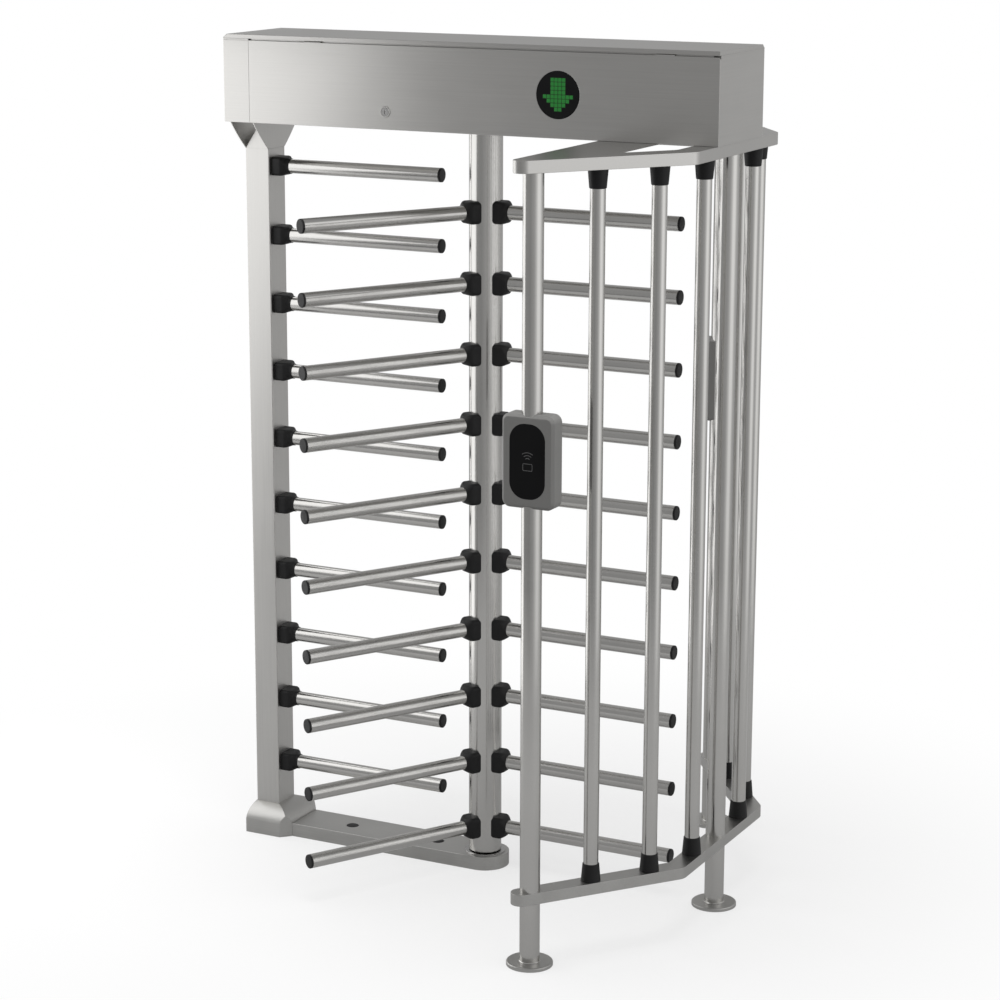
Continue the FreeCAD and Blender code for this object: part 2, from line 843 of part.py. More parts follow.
def make_front_door():
    front = -header_half_depth
    left, right = end_cap_right + panel_gap, header_half_length
    bottom = header_bottom + panel_gap
    door = block(left, right, front, front + sheet, bottom, hinge_z + door_rise)
    inner_right = right - sheet - seat_gap
    low, high = floor_top + lip_height + 1, hinge_z - hinge_inset * 2
    returns = [block(left, left + sheet, front, front + door_return, low, high),
               block(inner_right - sheet, inner_right, front, front + door_return, low, high)]
    knuckles = [bar(hinge_inset, vec(x, hinge_y, hinge_z), vec(1, 0, 0), knuckle_length,
                    pin_sides) for x in hinge_starts()]
    door = door.fuse(returns + knuckles)
    bore_r = (hinge_pin_diameter / 2 + running_gap) / math.cos(math.pi / pin_sides)
    bores = [bar(bore_r, vec(x - 1, hinge_y, hinge_z), vec(1, 0, 0), knuckle_length + 2,
                 pin_sides) for x in hinge_starts()]
    plug_hole = lock_plug_diameter / 2 / math.cos(math.pi / post_sides)
    holes = [bar(indicator_diameter / 2, vec(indicator_x, front - 1, indicator_z),
                 vec(0, 1, 0), sheet + 2, lens_sides),
             bar(plug_hole, vec(-lock_x, front - 1, lock_z), vec(0, 1, 0), sheet + 2,
                 post_sides)]
    return door.cut(bores + holes).removeSplitter()


def make_hinge_rail():
    # A rail under the cover, with a pin and its tail plate for each lift-off hinge.
    rail_front = hinge_y + hinge_inset + panel_gap
    rail = block(end_cap_right, header_half_length - door_return * 2, rail_front,
                 rail_front + rail_depth, header_top - rail_height, header_top)
    pin_r = hinge_pin_diameter / 2
    parts = []
    for x in hinge_starts():
        start = x - lug_length - seat_gap
        parts.append(rod(pin_r, vec(start, hinge_y, hinge_z), vec(1, 0, 0),
                         lug_length + seat_gap + knuckle_length))
        parts.append(block(start, start + lug_length, hinge_y, rail_front + 1,
                           hinge_z - pin_r, hinge_z + pin_r))
    return rail.fuse(parts).removeSplitter()


def make_gasket():
    lip = -header_half_depth + lip_inset
    return block(end_cap_right + door_return * 2, header_half_length - door_return * 2,
                 -header_half_depth + sheet + seat_gap, lip,
                 floor_top + lip_height - gasket_height, floor_top + lip_height)


def make_indicator(side):
    # Lens flush with the panel and the closed housing behind it; side is -1 at the front.
    face = side * header_half_depth
    inward = vec(0, -side, 0)
    lens = bar(indicator_diameter / 2 - lens_gap, vec(indicator_x, face, indicator_z),
               inward, lens_thickness, lens_sides)
    back = face - side * lens_thickness
    housing = bar(indicator_diameter / 2 + indicator_flange,
                  vec(indicator_x, back, indicator_z), inward, indicator_depth, disc_sides)
    return lens, housing


def make_lock():
    # The ring stays on the door; the plug, its barrel and the cam turn.
    front = -header_half_depth
    inward = vec(0, 1, 0)
    start = vec(-lock_x, front - lock_ring_thickness, lock_z)
    ring = bar(lock_ring_diameter / 2, start, inward, lock_ring_thickness, post_sides)
    hole_r = lock_plug_diameter / 2
    ring = ring.cut(bar(hole_r / math.cos(math.pi / post_sides), start - inward, inward,
                        lock_ring_thickness + 2, post_sides))
    plug = bar(hole_r - running_gap, start, inward, lock_ring_thickness + sheet, post_sides)
    plug = plug.fuse(rod(lock_barrel_diameter / 2, start, inward,
                         lock_ring_thickness + lock_depth))
    cam_y = front + lock_depth - cam_thickness
    cam = block(-lock_x, -lock_x + cam_reach, cam_y, cam_y + cam_thickness,
                lock_z - cam_width / 2, lock_z + cam_width / 2)
    keyway = block(-lock_x - keyway_width / 2, -lock_x + keyway_width / 2,
                   front - lock_ring_thickness - 1, front - seat_gap, lock_z - keyway_height / 2,
                   lock_z + keyway_height / 2)
    return ring, plug.fuse(cam).cut(keyway).removeSplitter()


# Locking mechanism

def local_to_plate(shape):
    # Puts a shape drawn about the left pawl's pivot, X towards the tooth and Y towards
    # the wheel, on the plate.
    shape.rotate(vec(0, 0, 0), vec(0, 0, 1), pawl_contact_angle - 270.0)
    shape.translate(pawl_pivot())
    return shape


def pawl_pivot():
    angle = math.radians(pawl_contact_angle)
    reach = wheel_diameter / 2 + pawl_offset
    return vec(reach * math.cos(angle) + pawl_arm * math.sin(angle),
               reach * math.sin(angle) - pawl_arm * math.cos(angle))


def make_pawl():
    half = pawl_width / 2
    top = wheel_bottom + wheel_thickness
    head = pawl_arm + tooth_width / 2
    tooth_tip = pawl_offset + tooth_entry
    outline = [vec(0, -half), vec(head, -half), vec(head, pawl_offset),
               vec(head - tooth_relief, tooth_tip),
               vec(head - tooth_width, tooth_tip), vec(head - tooth_width, half), vec(0, half)]
    pawl = prism(outline, vec(0, 0, wheel_thickness))
    pawl = pawl.fuse(upright_bar(pawl_eye_diameter / 2, 0, 0, 0, wheel_thickness, post_sides))
    pawl = pawl.cut(upright_hole(pawl_pin_diameter / 2 + running_gap, 0, 0, -1,
                                 wheel_thickness + 1, tube_sides))
    pawl.rotate(vec(0, 0, 0), vec(0, 0, 1), -pawl_swing)
    pawl.translate(vec(0, 0, wheel_bottom))
    return local_to_plate(pawl.removeSplitter())


def make_pawl_pin():
    shoulder_top = wheel_bottom - seat_gap
    pin = upright_bar(pawl_pin_shoulder / 2, 0, 0, plate_top, shoulder_top, tube_sides)
    pin = pin.fuse(upright(pawl_pin_diameter / 2, 0, 0, plate_top,
                           wheel_bottom + wheel_thickness + seat_gap))
    return local_to_plate(pin.removeSplitter())


def plunger_face():
    # Local Y of the plunger's face at rest, just clear of the swung pawl's back.
    swing = math.radians(pawl_swing)
    edge = plunger_arm + plunger_diameter / 2
    back = -(pawl_width / 2 + edge * math.sin(swing)) / math.cos(swing)
    return back - plunger_rest_gap


def coil_front():
    return -coil_setback - pawl_width / 2


def make_plunger():
    z = wheel_bottom + wheel_thickness / 2
    return local_to_plate(bar(plunger_diameter / 2, vec(plunger_arm, plunger_face(), z),
                              vec(0, -1, 0), plunger_length, tube_sides))


def make_coil():
    z = wheel_bottom + wheel_thickness / 2
    front = coil_front()
    coil = block(plunger_arm - coil_width / 2, plunger_arm + coil_width / 2,
                 front - coil_length, front, plate_top, z + coil_rise)
    bore = bar(plunger_diameter / 2 + running_gap, vec(plunger_arm, front + 1, z),
               vec(0, -1, 0), coil_length + 2, tube_sides)
    return local_to_plate(coil.cut(bore))


def make_drive_bracket():
    half = bracket_width / 2
    wall = bracket_wall_y
    shelf = block(-half, half, -bracket_front, wall + bracket_sheet, shelf_bottom,
                  shelf_bottom + bracket_sheet)
    upright_wall = block(-half, half, wall, wall + bracket_sheet, plate_top,
                         shelf_bottom + bracket_sheet)
    toe = block(-half, half, wall, wall + bracket_toe, plate_top,
                plate_top + bracket_sheet)
    hole = upright_bar(stub_diameter / 2 + bracket_clearance, 0, 0, shelf_bottom - 1,
                       shelf_bottom + bracket_sheet + 1, tube_sides)
    return shelf.fuse([upright_wall, toe]).cut(hole).removeSplitter()


def make_drive_unit():
    base = shelf_bottom + bracket_sheet
    unit = upright_bar(drive_diameter / 2, 0, 0, base, base + drive_height, disc_sides)
    return unit.cut(upright_hole(stub_diameter / 2 + running_gap, 0, 0, base - 1,
                                 base + stub_length + 1, tube_sides))


def make_bearing_parts():
    flange = upright_bar(housing_flange_diameter / 2, 0, 0, plate_top,
                         plate_top + housing_flange_thickness, disc_sides)
    top = plate_top + housing_height
    housing = flange.fuse(upright_bar(housing_diameter / 2, 0, 0, plate_top, top, disc_sides))
    seat = top - bearing_width
    clear = shaft_diameter / 2 + (bearing_outer - shaft_diameter) / 4
    housing = housing.cut([upright_bar(clear, 0, 0, plate_top - 1, seat + 1, tube_sides),
                           upright_bar(bearing_outer / 2, 0, 0, seat, top + 1, disc_sides)])
    bearing = upright_bar(bearing_outer / 2, 0, 0, seat, top, disc_sides)
    bearing = bearing.cut(upright_hole(shaft_diameter / 2 + running_gap, 0, 0, seat - 1,
                                       top + 1, disc_sides))
    return housing.removeSplitter(), bearing


def make_mech_plate():
    half = mech_plate_length / 2
    side = mech_plate_width / 2 - bracket_sheet
    plate = block(-half, half, -side, side, beam_top, plate_top)
    clear = shaft_diameter / 2 + (bearing_outer - shaft_diameter) / 4
    return plate.cut(upright_bar(clear, 0, 0, beam_top - 1, plate_top + 1, tube_sides))


def make_mech_bolts():
    bolts = []
    reach = housing_bolt_circle / 2 * math.sqrt(0.5)
    for sx in (-1, 1):
        for sy in (-1, 1):
            bolts.append(hex_head(sx * reach, sy * reach, plate_top + housing_flange_thickness))
            bolts.append(hex_head(sx * (mech_plate_length / 2 - hex_across),
                                  sy * beam_spacing / 2, plate_top))
    return group(bolts)


def make_carrier(x0, length):
    half = beam_spacing / 2 + beam_width / 2
    return block(x0, x0 + length, -half, half, beam_top, beam_top + carrier_sheet)


def make_control_board():
    # A board in its tray, with a row of terminals and a heat sink standing on it.
    left = header_half_length - board_end_gap - board_length
    top = beam_top + carrier_sheet
    half = board_half_width
    tray = block(left + board_edge, left + board_length - board_edge, -half, half,
                 top, top + board_height)
    terminals = block(left + terminals_start, left + terminals_start + terminals_width,
                      -terminals_length / 2, terminals_length / 2, top, top + terminals_height)
    sink = block(left + sink_start, left + sink_start + sink_length,
                 -sink_width / 2, sink_width / 2, top, top + sink_height)
    return make_carrier(left, board_length).fuse([tray, terminals, sink]).removeSplitter()


def make_power_supply():
    left = -header_half_length + supply_end_gap
    top = beam_top + carrier_sheet
    case = block(left + board_edge, left + supply_length - board_edge, -supply_width / 2,
                 supply_width / 2, top, top + supply_height)
    return make_carrier(left, supply_length).fuse(case).removeSplitter()


def make_header():
    front_lens, front_housing = make_indicator(-1)
    rear_lens, rear_housing = make_indicator(1)
    ring, barrel = make_lock()
    return {"header_floor": make_header_floor(), "header_beams": make_beams(),
            "left_end_cap": make_end_cap(), "right_end_plate": make_right_end(),
            "rear_panel": make_rear_panel(), "top_cover": make_top_cover(),
            "hinge_rail": make_hinge_rail(), "door_gasket": make_gasket(),
            "front_door": make_front_door(),
            "front_indicator_lens": front_lens, "front_indicator_housing": front_housing,
            "rear_indicator_lens": rear_lens, "rear_indicator_housing": rear_housing,
            "lock_ring": ring, "lock_barrel": barrel}


def make_mechanism():
    housing, bearing = make_bearing_parts()
    pawl, plunger, coil, pin = make_pawl(), make_plunger(), make_coil(), make_pawl_pin()
    return {"mechanism_plate": make_mech_plate(), "bearing_housing": housing,
            "shaft_bearing": bearing, "mechanism_bolts": make_mech_bolts(),
            "left_pawl": pawl, "right_pawl": mirrored_x(pawl),
            "left_plunger": plunger, "right_plunger": mirrored_x(plunger),
            "solenoid_coils": group([coil, mirrored_x(coil)]),
            "pawl_pins": group([pin, mirrored_x(pin)]),
            "drive_bracket": make_drive_bracket(), "drive_unit": make_drive_unit(),
            "control_board": make_control_board(), "power_supply": make_power_supply()}


def make_all():
    nodes = {}
    nodes.update(make_base())
    nodes["post_foot"] = make_foot()
    nodes["left_post"] = make_left_post()
    nodes["post_capital"] = make_capital()
    nodes.update(make_comb())
    nodes.update(make_rotor())
    nodes.update(make_cage())
    housing, window = make_reader()
    nodes["front_reader_housing"], nodes["front_reader_window"] = housing, window
    nodes["rear_reader_housing"] = mirrored_y(housing)
    nodes["rear_reader_window"] = mirrored_y(window)
    nodes.update(make_header())
    nodes.update(make_mechanism())
    return nodes


os.makedirs("parts", exist_ok=True)
for name, shape in make_all().items():
    shape.exportStep("parts/%s.step" % name)
    print(name, len(shape.Solids), shape.isValid(), round(shape.Volume / 1000.0, 1))
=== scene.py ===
import math

import bmesh
import bpy
import numpy as np
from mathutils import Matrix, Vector
from mathutils.geometry import tessellate_polygon


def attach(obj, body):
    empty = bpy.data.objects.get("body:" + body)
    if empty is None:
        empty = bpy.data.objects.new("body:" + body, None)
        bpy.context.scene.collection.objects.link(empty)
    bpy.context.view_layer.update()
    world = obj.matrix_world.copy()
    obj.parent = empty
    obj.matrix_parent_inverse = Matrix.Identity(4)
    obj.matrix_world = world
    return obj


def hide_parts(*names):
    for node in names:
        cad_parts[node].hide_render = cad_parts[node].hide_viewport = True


# Full height turnstile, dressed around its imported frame. Metres; the front is -Y.
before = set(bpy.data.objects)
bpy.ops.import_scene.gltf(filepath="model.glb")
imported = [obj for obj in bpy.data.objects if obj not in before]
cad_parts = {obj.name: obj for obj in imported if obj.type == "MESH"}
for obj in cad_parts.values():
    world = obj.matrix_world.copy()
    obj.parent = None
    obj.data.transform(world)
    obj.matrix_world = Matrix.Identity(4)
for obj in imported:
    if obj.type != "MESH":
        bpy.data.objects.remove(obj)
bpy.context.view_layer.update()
print("frame loaded:", len(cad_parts), "nodes")


# shapes as arrays: a shape is (points, faces)

def unit(direction):
    direction = np.asarray(direction, float)
    return direction / np.linalg.norm(direction)


def gridFaces(rows, columns, closedRows=False):
    # quads of a grid whose columns run round and meet themselves
    i = np.arange(rows if closedRows else rows - 1)[:, None]
    j = np.arange(columns)[None, :]
    nextRow, nextColumn = (i + 1) % rows, (j + 1) % columns
    quads = np.stack([i * columns + j, i * columns + nextColumn,
                      nextRow * columns + nextColumn, nextRow * columns + j], -1)
    return quads.reshape(-1, 4).tolist()


def turned(profile, start, along, steps=48, closed=False):
    # each (distance, radius) of the profile becomes a circle of that radius, that far along
    along = unit(along)
    side = unit(np.cross(along, (0, 0, 1) if abs(along[2]) < 0.9 else (1, 0, 0)))
    angle = np.linspace(0, 2 * math.pi, steps, endpoint=False)[:, None]
    circle = np.cos(angle) * side + np.sin(angle) * np.cross(side, along)
    profile = np.asarray(profile, float)
    points = np.asarray(start) + profile[:, :1, None] * along + profile[:, 1:, None] * circle
    return points.reshape(-1, 3), gridFaces(len(profile), steps, closed)


def repeated(shape, offsets):
    # copies of a shape, one at each offset
    points, faces = shape
    offsets = np.asarray(offsets, float)
    count = len(points)
    allPoints = (points[None] + offsets[:, None]).reshape(-1, 3)
    allFaces = [[i + count * k for i in face] for k in range(len(offsets)) for face in faces]
    return allPoints, allFaces


def swung(shape, degrees):
    # a shape turned about the rotor's axis
    c, s = math.cos(math.radians(degrees)), math.sin(math.radians(degrees))
    return shape[0] @ np.array([[c, s, 0], [-s, c, 0], [0, 0, 1]]), shape[1]


def faced(shape, side):
    # the front has the shape as it is drawn, the rear has it mirrored
    if side == "front":
        return shape
    return shape[0] * np.array([1, -1, 1]), [face[::-1] for face in shape[1]]


def rod(start, along, length, radius, steps=40):
    # a plain round bar
    return turned([(0, 0), (0, radius), (length, radius), (length, 0)], start, along, steps)


def fullRing(radius, centre=(0, 0), steps=48, turn=1):
    # centre + radius x (cos, sin) of even angles, anticlockwise, or clockwise when turn is -1
    angle = np.linspace(0, 2 * math.pi, steps, endpoint=False) * turn
    return np.stack([centre[0] + radius * np.cos(angle), centre[1] + radius * np.sin(angle)], 1)


def roundHole(radius, centre, steps=40):
    # a hole's ring runs clockwise
    return fullRing(radius, centre, steps, turn=-1)


def arc(centre, radius, start, end, steps=12):
    # centre + radius x (cos, sin) of the angles from start to end, in degrees
    angle = np.radians(np.linspace(start, end, steps + 1))
    return np.stack([centre[0] + radius * np.cos(angle), centre[1] + radius * np.sin(angle)], 1)


def box(left, right, low, high):
    return [(left, low), (right, low), (right, high), (left, high)]


def roundedBox(left, right, low, high, radius, steps=8):
    # a rectangle with round corners, anticlockwise
    r = radius
    return np.concatenate([arc((right - r, high - r), r, 0, 90, steps),
                           arc((left + r, high - r), r, 90, 180, steps),
                           arc((left + r, low + r), r, 180, 270, steps),
                           arc((right - r, low + r), r, 270, 360, steps)])


def softened(corners, reach, steps=6):
    # each corner gives way to a parabola between the points that lie reach before and after it
    corners = np.asarray(corners, float)
    t = np.linspace(0, 1, steps + 1)[:, None]
    pieces = []
    for before, corner, after in zip(np.roll(corners, 1, 0), corners, np.roll(corners, -1, 0)):
        a = corner + unit(before - corner) * reach
        b = corner + unit(after - corner) * reach
        pieces.append((1 - t) ** 2 * a + 2 * t * (1 - t) * corner + t ** 2 * b)
    return np.concatenate(pieces)


def inset(outline, distance):
    # every point moves along its mitre, to the left of the outline's direction
    ahead = np.roll(outline, -1, 0) - outline
    ahead /= np.linalg.norm(ahead, axis=1)[:, None]
    normal = np.stack([-ahead[:, 1], ahead[:, 0]], 1)
    before = np.roll(normal, 1, 0)
    scale = 1 + np.sum(normal * before, 1)[:, None]
    return outline + distance * (normal + before) / np.maximum(scale, 0.3)


def level(plan, z):
    return np.column_stack([plan, np.full(len(plan), z)])


def roundEdge(radius, steps=3):
    # (depth, inset) pairs of a quarter circle, from the face to the side
    angle = np.linspace(0, math.pi / 2, steps + 1)
    return [(radius * (1 - math.cos(a)), radius * (1 - math.sin(a))) for a in angle]


# how far the edges of sheets and plates are rounded
edges = dict(hair=0.0001, thin=0.0003, cut=0.0004, sheet=0.0005, soft=0.0006, plate=0.0012)


def slab(outline, low, high, edge, holes=(), place=None, lowEdge=None, steps=2):
    # a plan with holes, carried from low to high, with its edges shaped by (depth, inset) pairs
    lower, upper = [e if isinstance(e, list) else roundEdge(e, steps)
                    for e in (edge if lowEdge is None else lowEdge, edge)]
    levels = [(low + d, i) for d, i in lower] + [(high - d, i) for d, i in upper[::-1]]
    points, faces, loops, firsts, count = [], [], [], [], 0
    for loop in [outline] + list(holes):
        loop = np.asarray(loop, float)
        rings = [level(inset(loop, i), z) for z, i in levels]
        points += rings
        faces += [[count + k for k in face] for face in gridFaces(len(rings), len(loop))]
        loops.append(rings[0])
        firsts.append(np.arange(len(loop)) + count)
        count += len(loop) * len(rings)
    cap = tessellate_polygon([[Vector(p) for p in loop] for loop in loops])
    lowest = np.concatenate(firsts)
    highest = np.concatenate([f + len(f) * (len(levels) - 1) for f in firsts])
    faces += [[int(lowest[k]) for k in t] for t in cap]
    faces += [[int(highest[k]) for k in t][::-1] for t in cap]
    points = np.concatenate(points)
    return (place(points) if place else points), faces


def stack(rings):
    # closed rings with equal numbers of points, joined in turn and capped at both ends
    rings = [np.asarray(r, float) for r in rings]
    size = len(rings[0])
    faces = gridFaces(len(rings), size)
    top = size * (len(rings) - 1)
    for ring, first in ((rings[0], 0), (rings[-1], top)):
        faces += [[first + k for k in t] for t in tessellate_polygon([[Vector(p) for p in ring]])]
    return np.concatenate(rings), faces


def onFront(y):
    # plans drawn in X and Z, with depth measured inwards from the plane y
    return lambda p: np.column_stack([p[:, 0], y + p[:, 2], p[:, 1]])


def onSide(x):
    # plans drawn in Y and Z, with depth measured from the plane x
    return lambda p: np.column_stack([x + p[:, 2], p[:, 0], p[:, 1]])


def newObject(name, data):
    made = bpy.data.objects.new(name, data)
    bpy.context.scene.collection.objects.link(made)
    return made


finishes = {}
merging = dict(doubles=1e-6, slivers=1e-7)


def makePiece(name, shapes, finish, nodes, sharp=30, body="frame"):
    # one mesh from several shapes: doubles merged, faces outwards, and an edge sharp where its
    # faces turn by more than sharp degrees
    points, faces, count = [], [], 0
    for shapePoints, shapeFaces in shapes:
        points.append(shapePoints)
        faces += [[i + count for i in face] for face in shapeFaces]
        count += len(shapePoints)
    mesh = bpy.data.meshes.new(name)
    mesh.from_pydata(np.concatenate(points).tolist(), [], faces)
    work = bmesh.new()
    work.from_mesh(mesh)
    bmesh.ops.remove_doubles(work, verts=work.verts, dist=merging["doubles"])
    bmesh.ops.dissolve_degenerate(work, edges=work.edges, dist=merging["slivers"])
    bmesh.ops.recalc_face_normals(work, faces=work.faces)
    work.to_mesh(mesh)
    work.free()
    mesh.polygons.foreach_set("use_smooth", np.ones(len(mesh.polygons), bool))
    mesh.set_sharp_from_angle(angle=math.radians(sharp))
    mesh.materials.append(finishes[finish])
    piece = newObject(name, mesh)
    even = piece.modifiers.new("flatFaces", "WEIGHTED_NORMAL")
    even.keep_sharp = True
    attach(piece, body)
    if nodes:
        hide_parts(*nodes)


# finishes

def fill(tree, node, inputs):
    # each input takes a value or a link from another node's output
    for name, value in inputs.items():
        if isinstance(value, bpy.types.NodeSocket):
            tree.links.new(value, node.inputs[name])
        else:
            node.inputs[name].default_value = value
    return node


def newNode(tree, kind, inputs, **settings):
    node = tree.nodes.new(kind)
    for name, value in settings.items():
        setattr(node, name, value)
    return fill(tree, node, inputs)


def maths(tree, operation, first, second):
    return newNode(tree, "ShaderNodeMath", {0: first, 1: second}, operation=operation).outputs[0]


def ranged(tree, value, fromRange, toRange, curve="LINEAR"):
    # carries a value from one range to the other, and stops at its ends
    return newNode(tree, "ShaderNodeMapRange", {
        "Value": value, "From Min": fromRange[0], "From Max": fromRange[1],
        "To Min": toRange[0], "To Max": toRange[1]}, interpolation_type=curve).outputs["Result"]


texture = dict(noiseRange=(0.3, 0.7), grainDetail=3.0, cloudDetail=2.0, relief=0.0004)


def newFinish(name, colour, metallic, roughness, stretch=(40, 40, 40), turn=0, grain=0.1,
              shade=0.06, cloud=0.05, cloudScale=3.0, bump=0.02, shine=0.5, glow=0):
    # fine grain stretched along the brushing and a slow cloud, both in the colour and the gloss
    material = bpy.data.materials.new(name)
    material.use_nodes = True
    tree = material.node_tree
    where = newNode(tree, "ShaderNodeTexCoord", {}).outputs["Object"]
    brushing = newNode(tree, "ShaderNodeMapping", {
        "Vector": where, "Rotation": (0, 0, math.radians(turn))}).outputs["Vector"]
    brushing = newNode(tree, "ShaderNodeMapping", {
        "Vector": brushing, "Scale": stretch}).outputs["Vector"]
    fine = newNode(tree, "ShaderNodeTexNoise", {
        "Vector": brushing, "Scale": 1.0, "Detail": texture["grainDetail"]}).outputs["Fac"]
    slow = newNode(tree, "ShaderNodeTexNoise", {
        "Vector": where, "Scale": cloudScale, "Detail": texture["cloudDetail"]}).outputs["Fac"]

    def mottled(middle, fineSpread, slowSpread):
        # (middle +- the grain's spread) x (1 +- the cloud's spread)
        spreads = ((fine, middle, fineSpread), (slow, 1, slowSpread))
        return maths(tree, "MULTIPLY", *[ranged(tree, noise, texture["noiseRange"],
                                                (centre - spread, centre + spread))
                                         for noise, centre, spread in spreads])

    tint = newNode(tree, "ShaderNodeVectorMath", {0: colour, "Scale": mottled(1, shade, cloud)},
                   operation="SCALE")
    relief = newNode(tree, "ShaderNodeBump", {
        "Strength": bump, "Distance": texture["relief"], "Height": fine})
    fill(tree, tree.nodes["Principled BSDF"], {
        "Metallic": metallic, "Roughness": mottled(roughness, grain / 2, cloud * 2),
        "Base Color": tint.outputs["Vector"], "Normal": relief.outputs["Normal"],
        "Specular IOR Level": shine, "Emission Strength": glow, "Emission Color": (*colour, 1)})
    finishes[name] = material


steel = dict(colour=(0.6, 0.592, 0.575), sheetRoughness=0.34, tubeRoughness=0.2)
# the way a sheet is brushed: the scale along the brushing is small, across it large
for name, stretch in (("sheetSteel", (4, 260, 260)), ("postSteel", (260, 260, 4)),
                      ("capEndSteel", (260, 4, 260))):
    newFinish(name, steel["colour"], 1, steel["sheetRoughness"], stretch=stretch, grain=0.05,
              shade=0.025, cloud=0.02, cloudScale=4, bump=0.012)
# the tubes are smoother; each wing's brushing is turned with its arms
for name, stretch, turn in (
        ("uprightTubeSteel", (40, 40, 700), 0), ("armSteelA", (700, 40, 40), 0),
        ("armSteelB", (700, 40, 40), -120), ("armSteelC", (700, 40, 40), -240)):
    newFinish(name, steel["colour"], 1, steel["tubeRoughness"], stretch=stretch, turn=turn,
              grain=0.03, shade=0.012, cloud=0.03, cloudScale=5, bump=0.004)
newFinish("footSteel", (0.52, 0.515, 0.5), 1, 0.38, stretch=(8, 300, 300), shade=0.04, cloud=0.06,
          cloudScale=8, bump=0.03)
newFinish("blackMoulding", (0.011, 0.011, 0.0115), 0, 0.48, stretch=(400, 400, 400), shade=0.15,
          cloud=0.1, cloudScale=20, bump=0.06, shine=0.3)
newFinish("readerShell", (0.275, 0.272, 0.265), 0, 0.5, stretch=(500, 500, 500), grain=0.06,
          shade=0.04, cloud=0.03, bump=0.04, shine=0.35)
newFinish("smokedWindow", (0.01, 0.01, 0.0105), 0, 0.3, stretch=(12, 12, 12), grain=0.04,
          shade=0.1, bump=0.0, shine=0.12)
newFinish("printedSign", (0.2, 0.2, 0.2), 0, 0.6, stretch=(900, 900, 900), grain=0.08, shade=0.15,
          cloud=0.1, cloudScale=60, shine=0.2)
newFinish("innerCase", (0.022, 0.022, 0.024), 0, 0.55, stretch=(600, 600, 600), shade=0.2,
          cloud=0.1, bump=0.15)
newFinish("sealRubber", (0.02, 0.02, 0.02), 0, 0.75, stretch=(300, 300, 300), shade=0.2, cloud=0.1,
          bump=0.2)
newFinish("zincPlate", (0.56, 0.55, 0.5), 0.9, 0.42, stretch=(60, 60, 60), grain=0.16, shade=0.1,
          cloud=0.12, cloudScale=14, bump=0.05)
newFinish("machinedSteel", (0.46, 0.455, 0.45), 1, 0.26, stretch=(40, 40, 1200), bump=0.05)
newFinish("coilCase", (0.035, 0.036, 0.042), 0, 0.5, stretch=(20, 20, 900), shade=0.2, cloud=0.1,
          bump=0.25)
newFinish("circuitBoard", (0.02, 0.16, 0.06), 0, 0.32, stretch=(260, 40, 40), shade=0.3,
          cloud=0.15, cloudScale=30, bump=0.1)
newFinish("supplyCase", (0.6, 0.6, 0.6), 0.9, 0.4, stretch=(12, 400, 400), shade=0.08, bump=0.05)
# the lit plastic of the arrow gives off its own colour
for name, colour, glow in (("ledDot", (0.01, 0.13, 0.019), 0.5),
                           ("ledField", (0.004, 0.05, 0.006), 0.3)):
    newFinish(name, colour, 0, 0.4, stretch=(300, 300, 300), shade=0.12, cloud=0.08, cloudScale=60,
              bump=0.1, glow=glow)
print("finishes ready:", len(finishes))

# CAD nodes that keep their shape, by the finish they get here
nodeFinishes = {
    "zincPlate": ["header_beams", "mechanism_plate", "bearing_housing", "mechanism_bolts",
                  "drive_bracket"],
    "machinedSteel": ["rotor_shaft", "shaft_bearing", "locking_wheel", "pawl_pins", "left_pawl",
                      "right_pawl", "left_plunger", "right_plunger"],
    "innerCase": ["front_indicator_housing", "rear_indicator_housing", "drive_unit"],
    "sheetSteel": ["hinge_rail"], "sealRubber": ["door_gasket"], "blackMoulding": ["pivot_bush"],
    "coilCase": ["solenoid_coils"], "circuitBoard": ["control_board"],
    "supplyCase": ["power_supply"]}
for finishName, nodeNames in nodeFinishes.items():
    for nodeName in nodeNames:
        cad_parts[nodeName].data.materials.clear()
        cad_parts[nodeName].data.materials.append(finishes[finishName])

# the carriers under the board and the supply, the board's terminals and its heat sink have
# a finish of their own: (finish, low corner, high corner) round the faces' middles
regions = {
    "control_board": [("zincPlate", (0.39, -0.13, 2.048), (0.59, 0.13, 2.0508)),
                      ("coilCase", (0.4232, -0.049, 2.063), (0.4398, 0.049, 2.078)),
                      ("machinedSteel", (0.4898, -0.021, 2.063), (0.5298, 0.021, 2.072))],
    "power_supply": [("zincPlate", (-0.55, -0.13, 2.048), (-0.35, 0.13, 2.0508))]}
for nodeName, boxes in regions.items():
    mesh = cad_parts[nodeName].data
    middles = np.empty(len(mesh.polygons) * 3)
    mesh.polygons.foreach_get("center", middles)
    middles = middles.reshape(-1, 3)
    chosen = np.zeros(len(middles), dtype=np.int32)
    for place, (finishName, low, high) in enumerate(boxes, 1):
        mesh.materials.append(finishes[finishName])
        chosen[((middles > low) & (middles < high)).all(axis=1)] = place
    mesh.polygons.foreach_set("material_index", chosen)
    print(nodeName, "faces by finish:", np.bincount(chosen).tolist())


# rotor

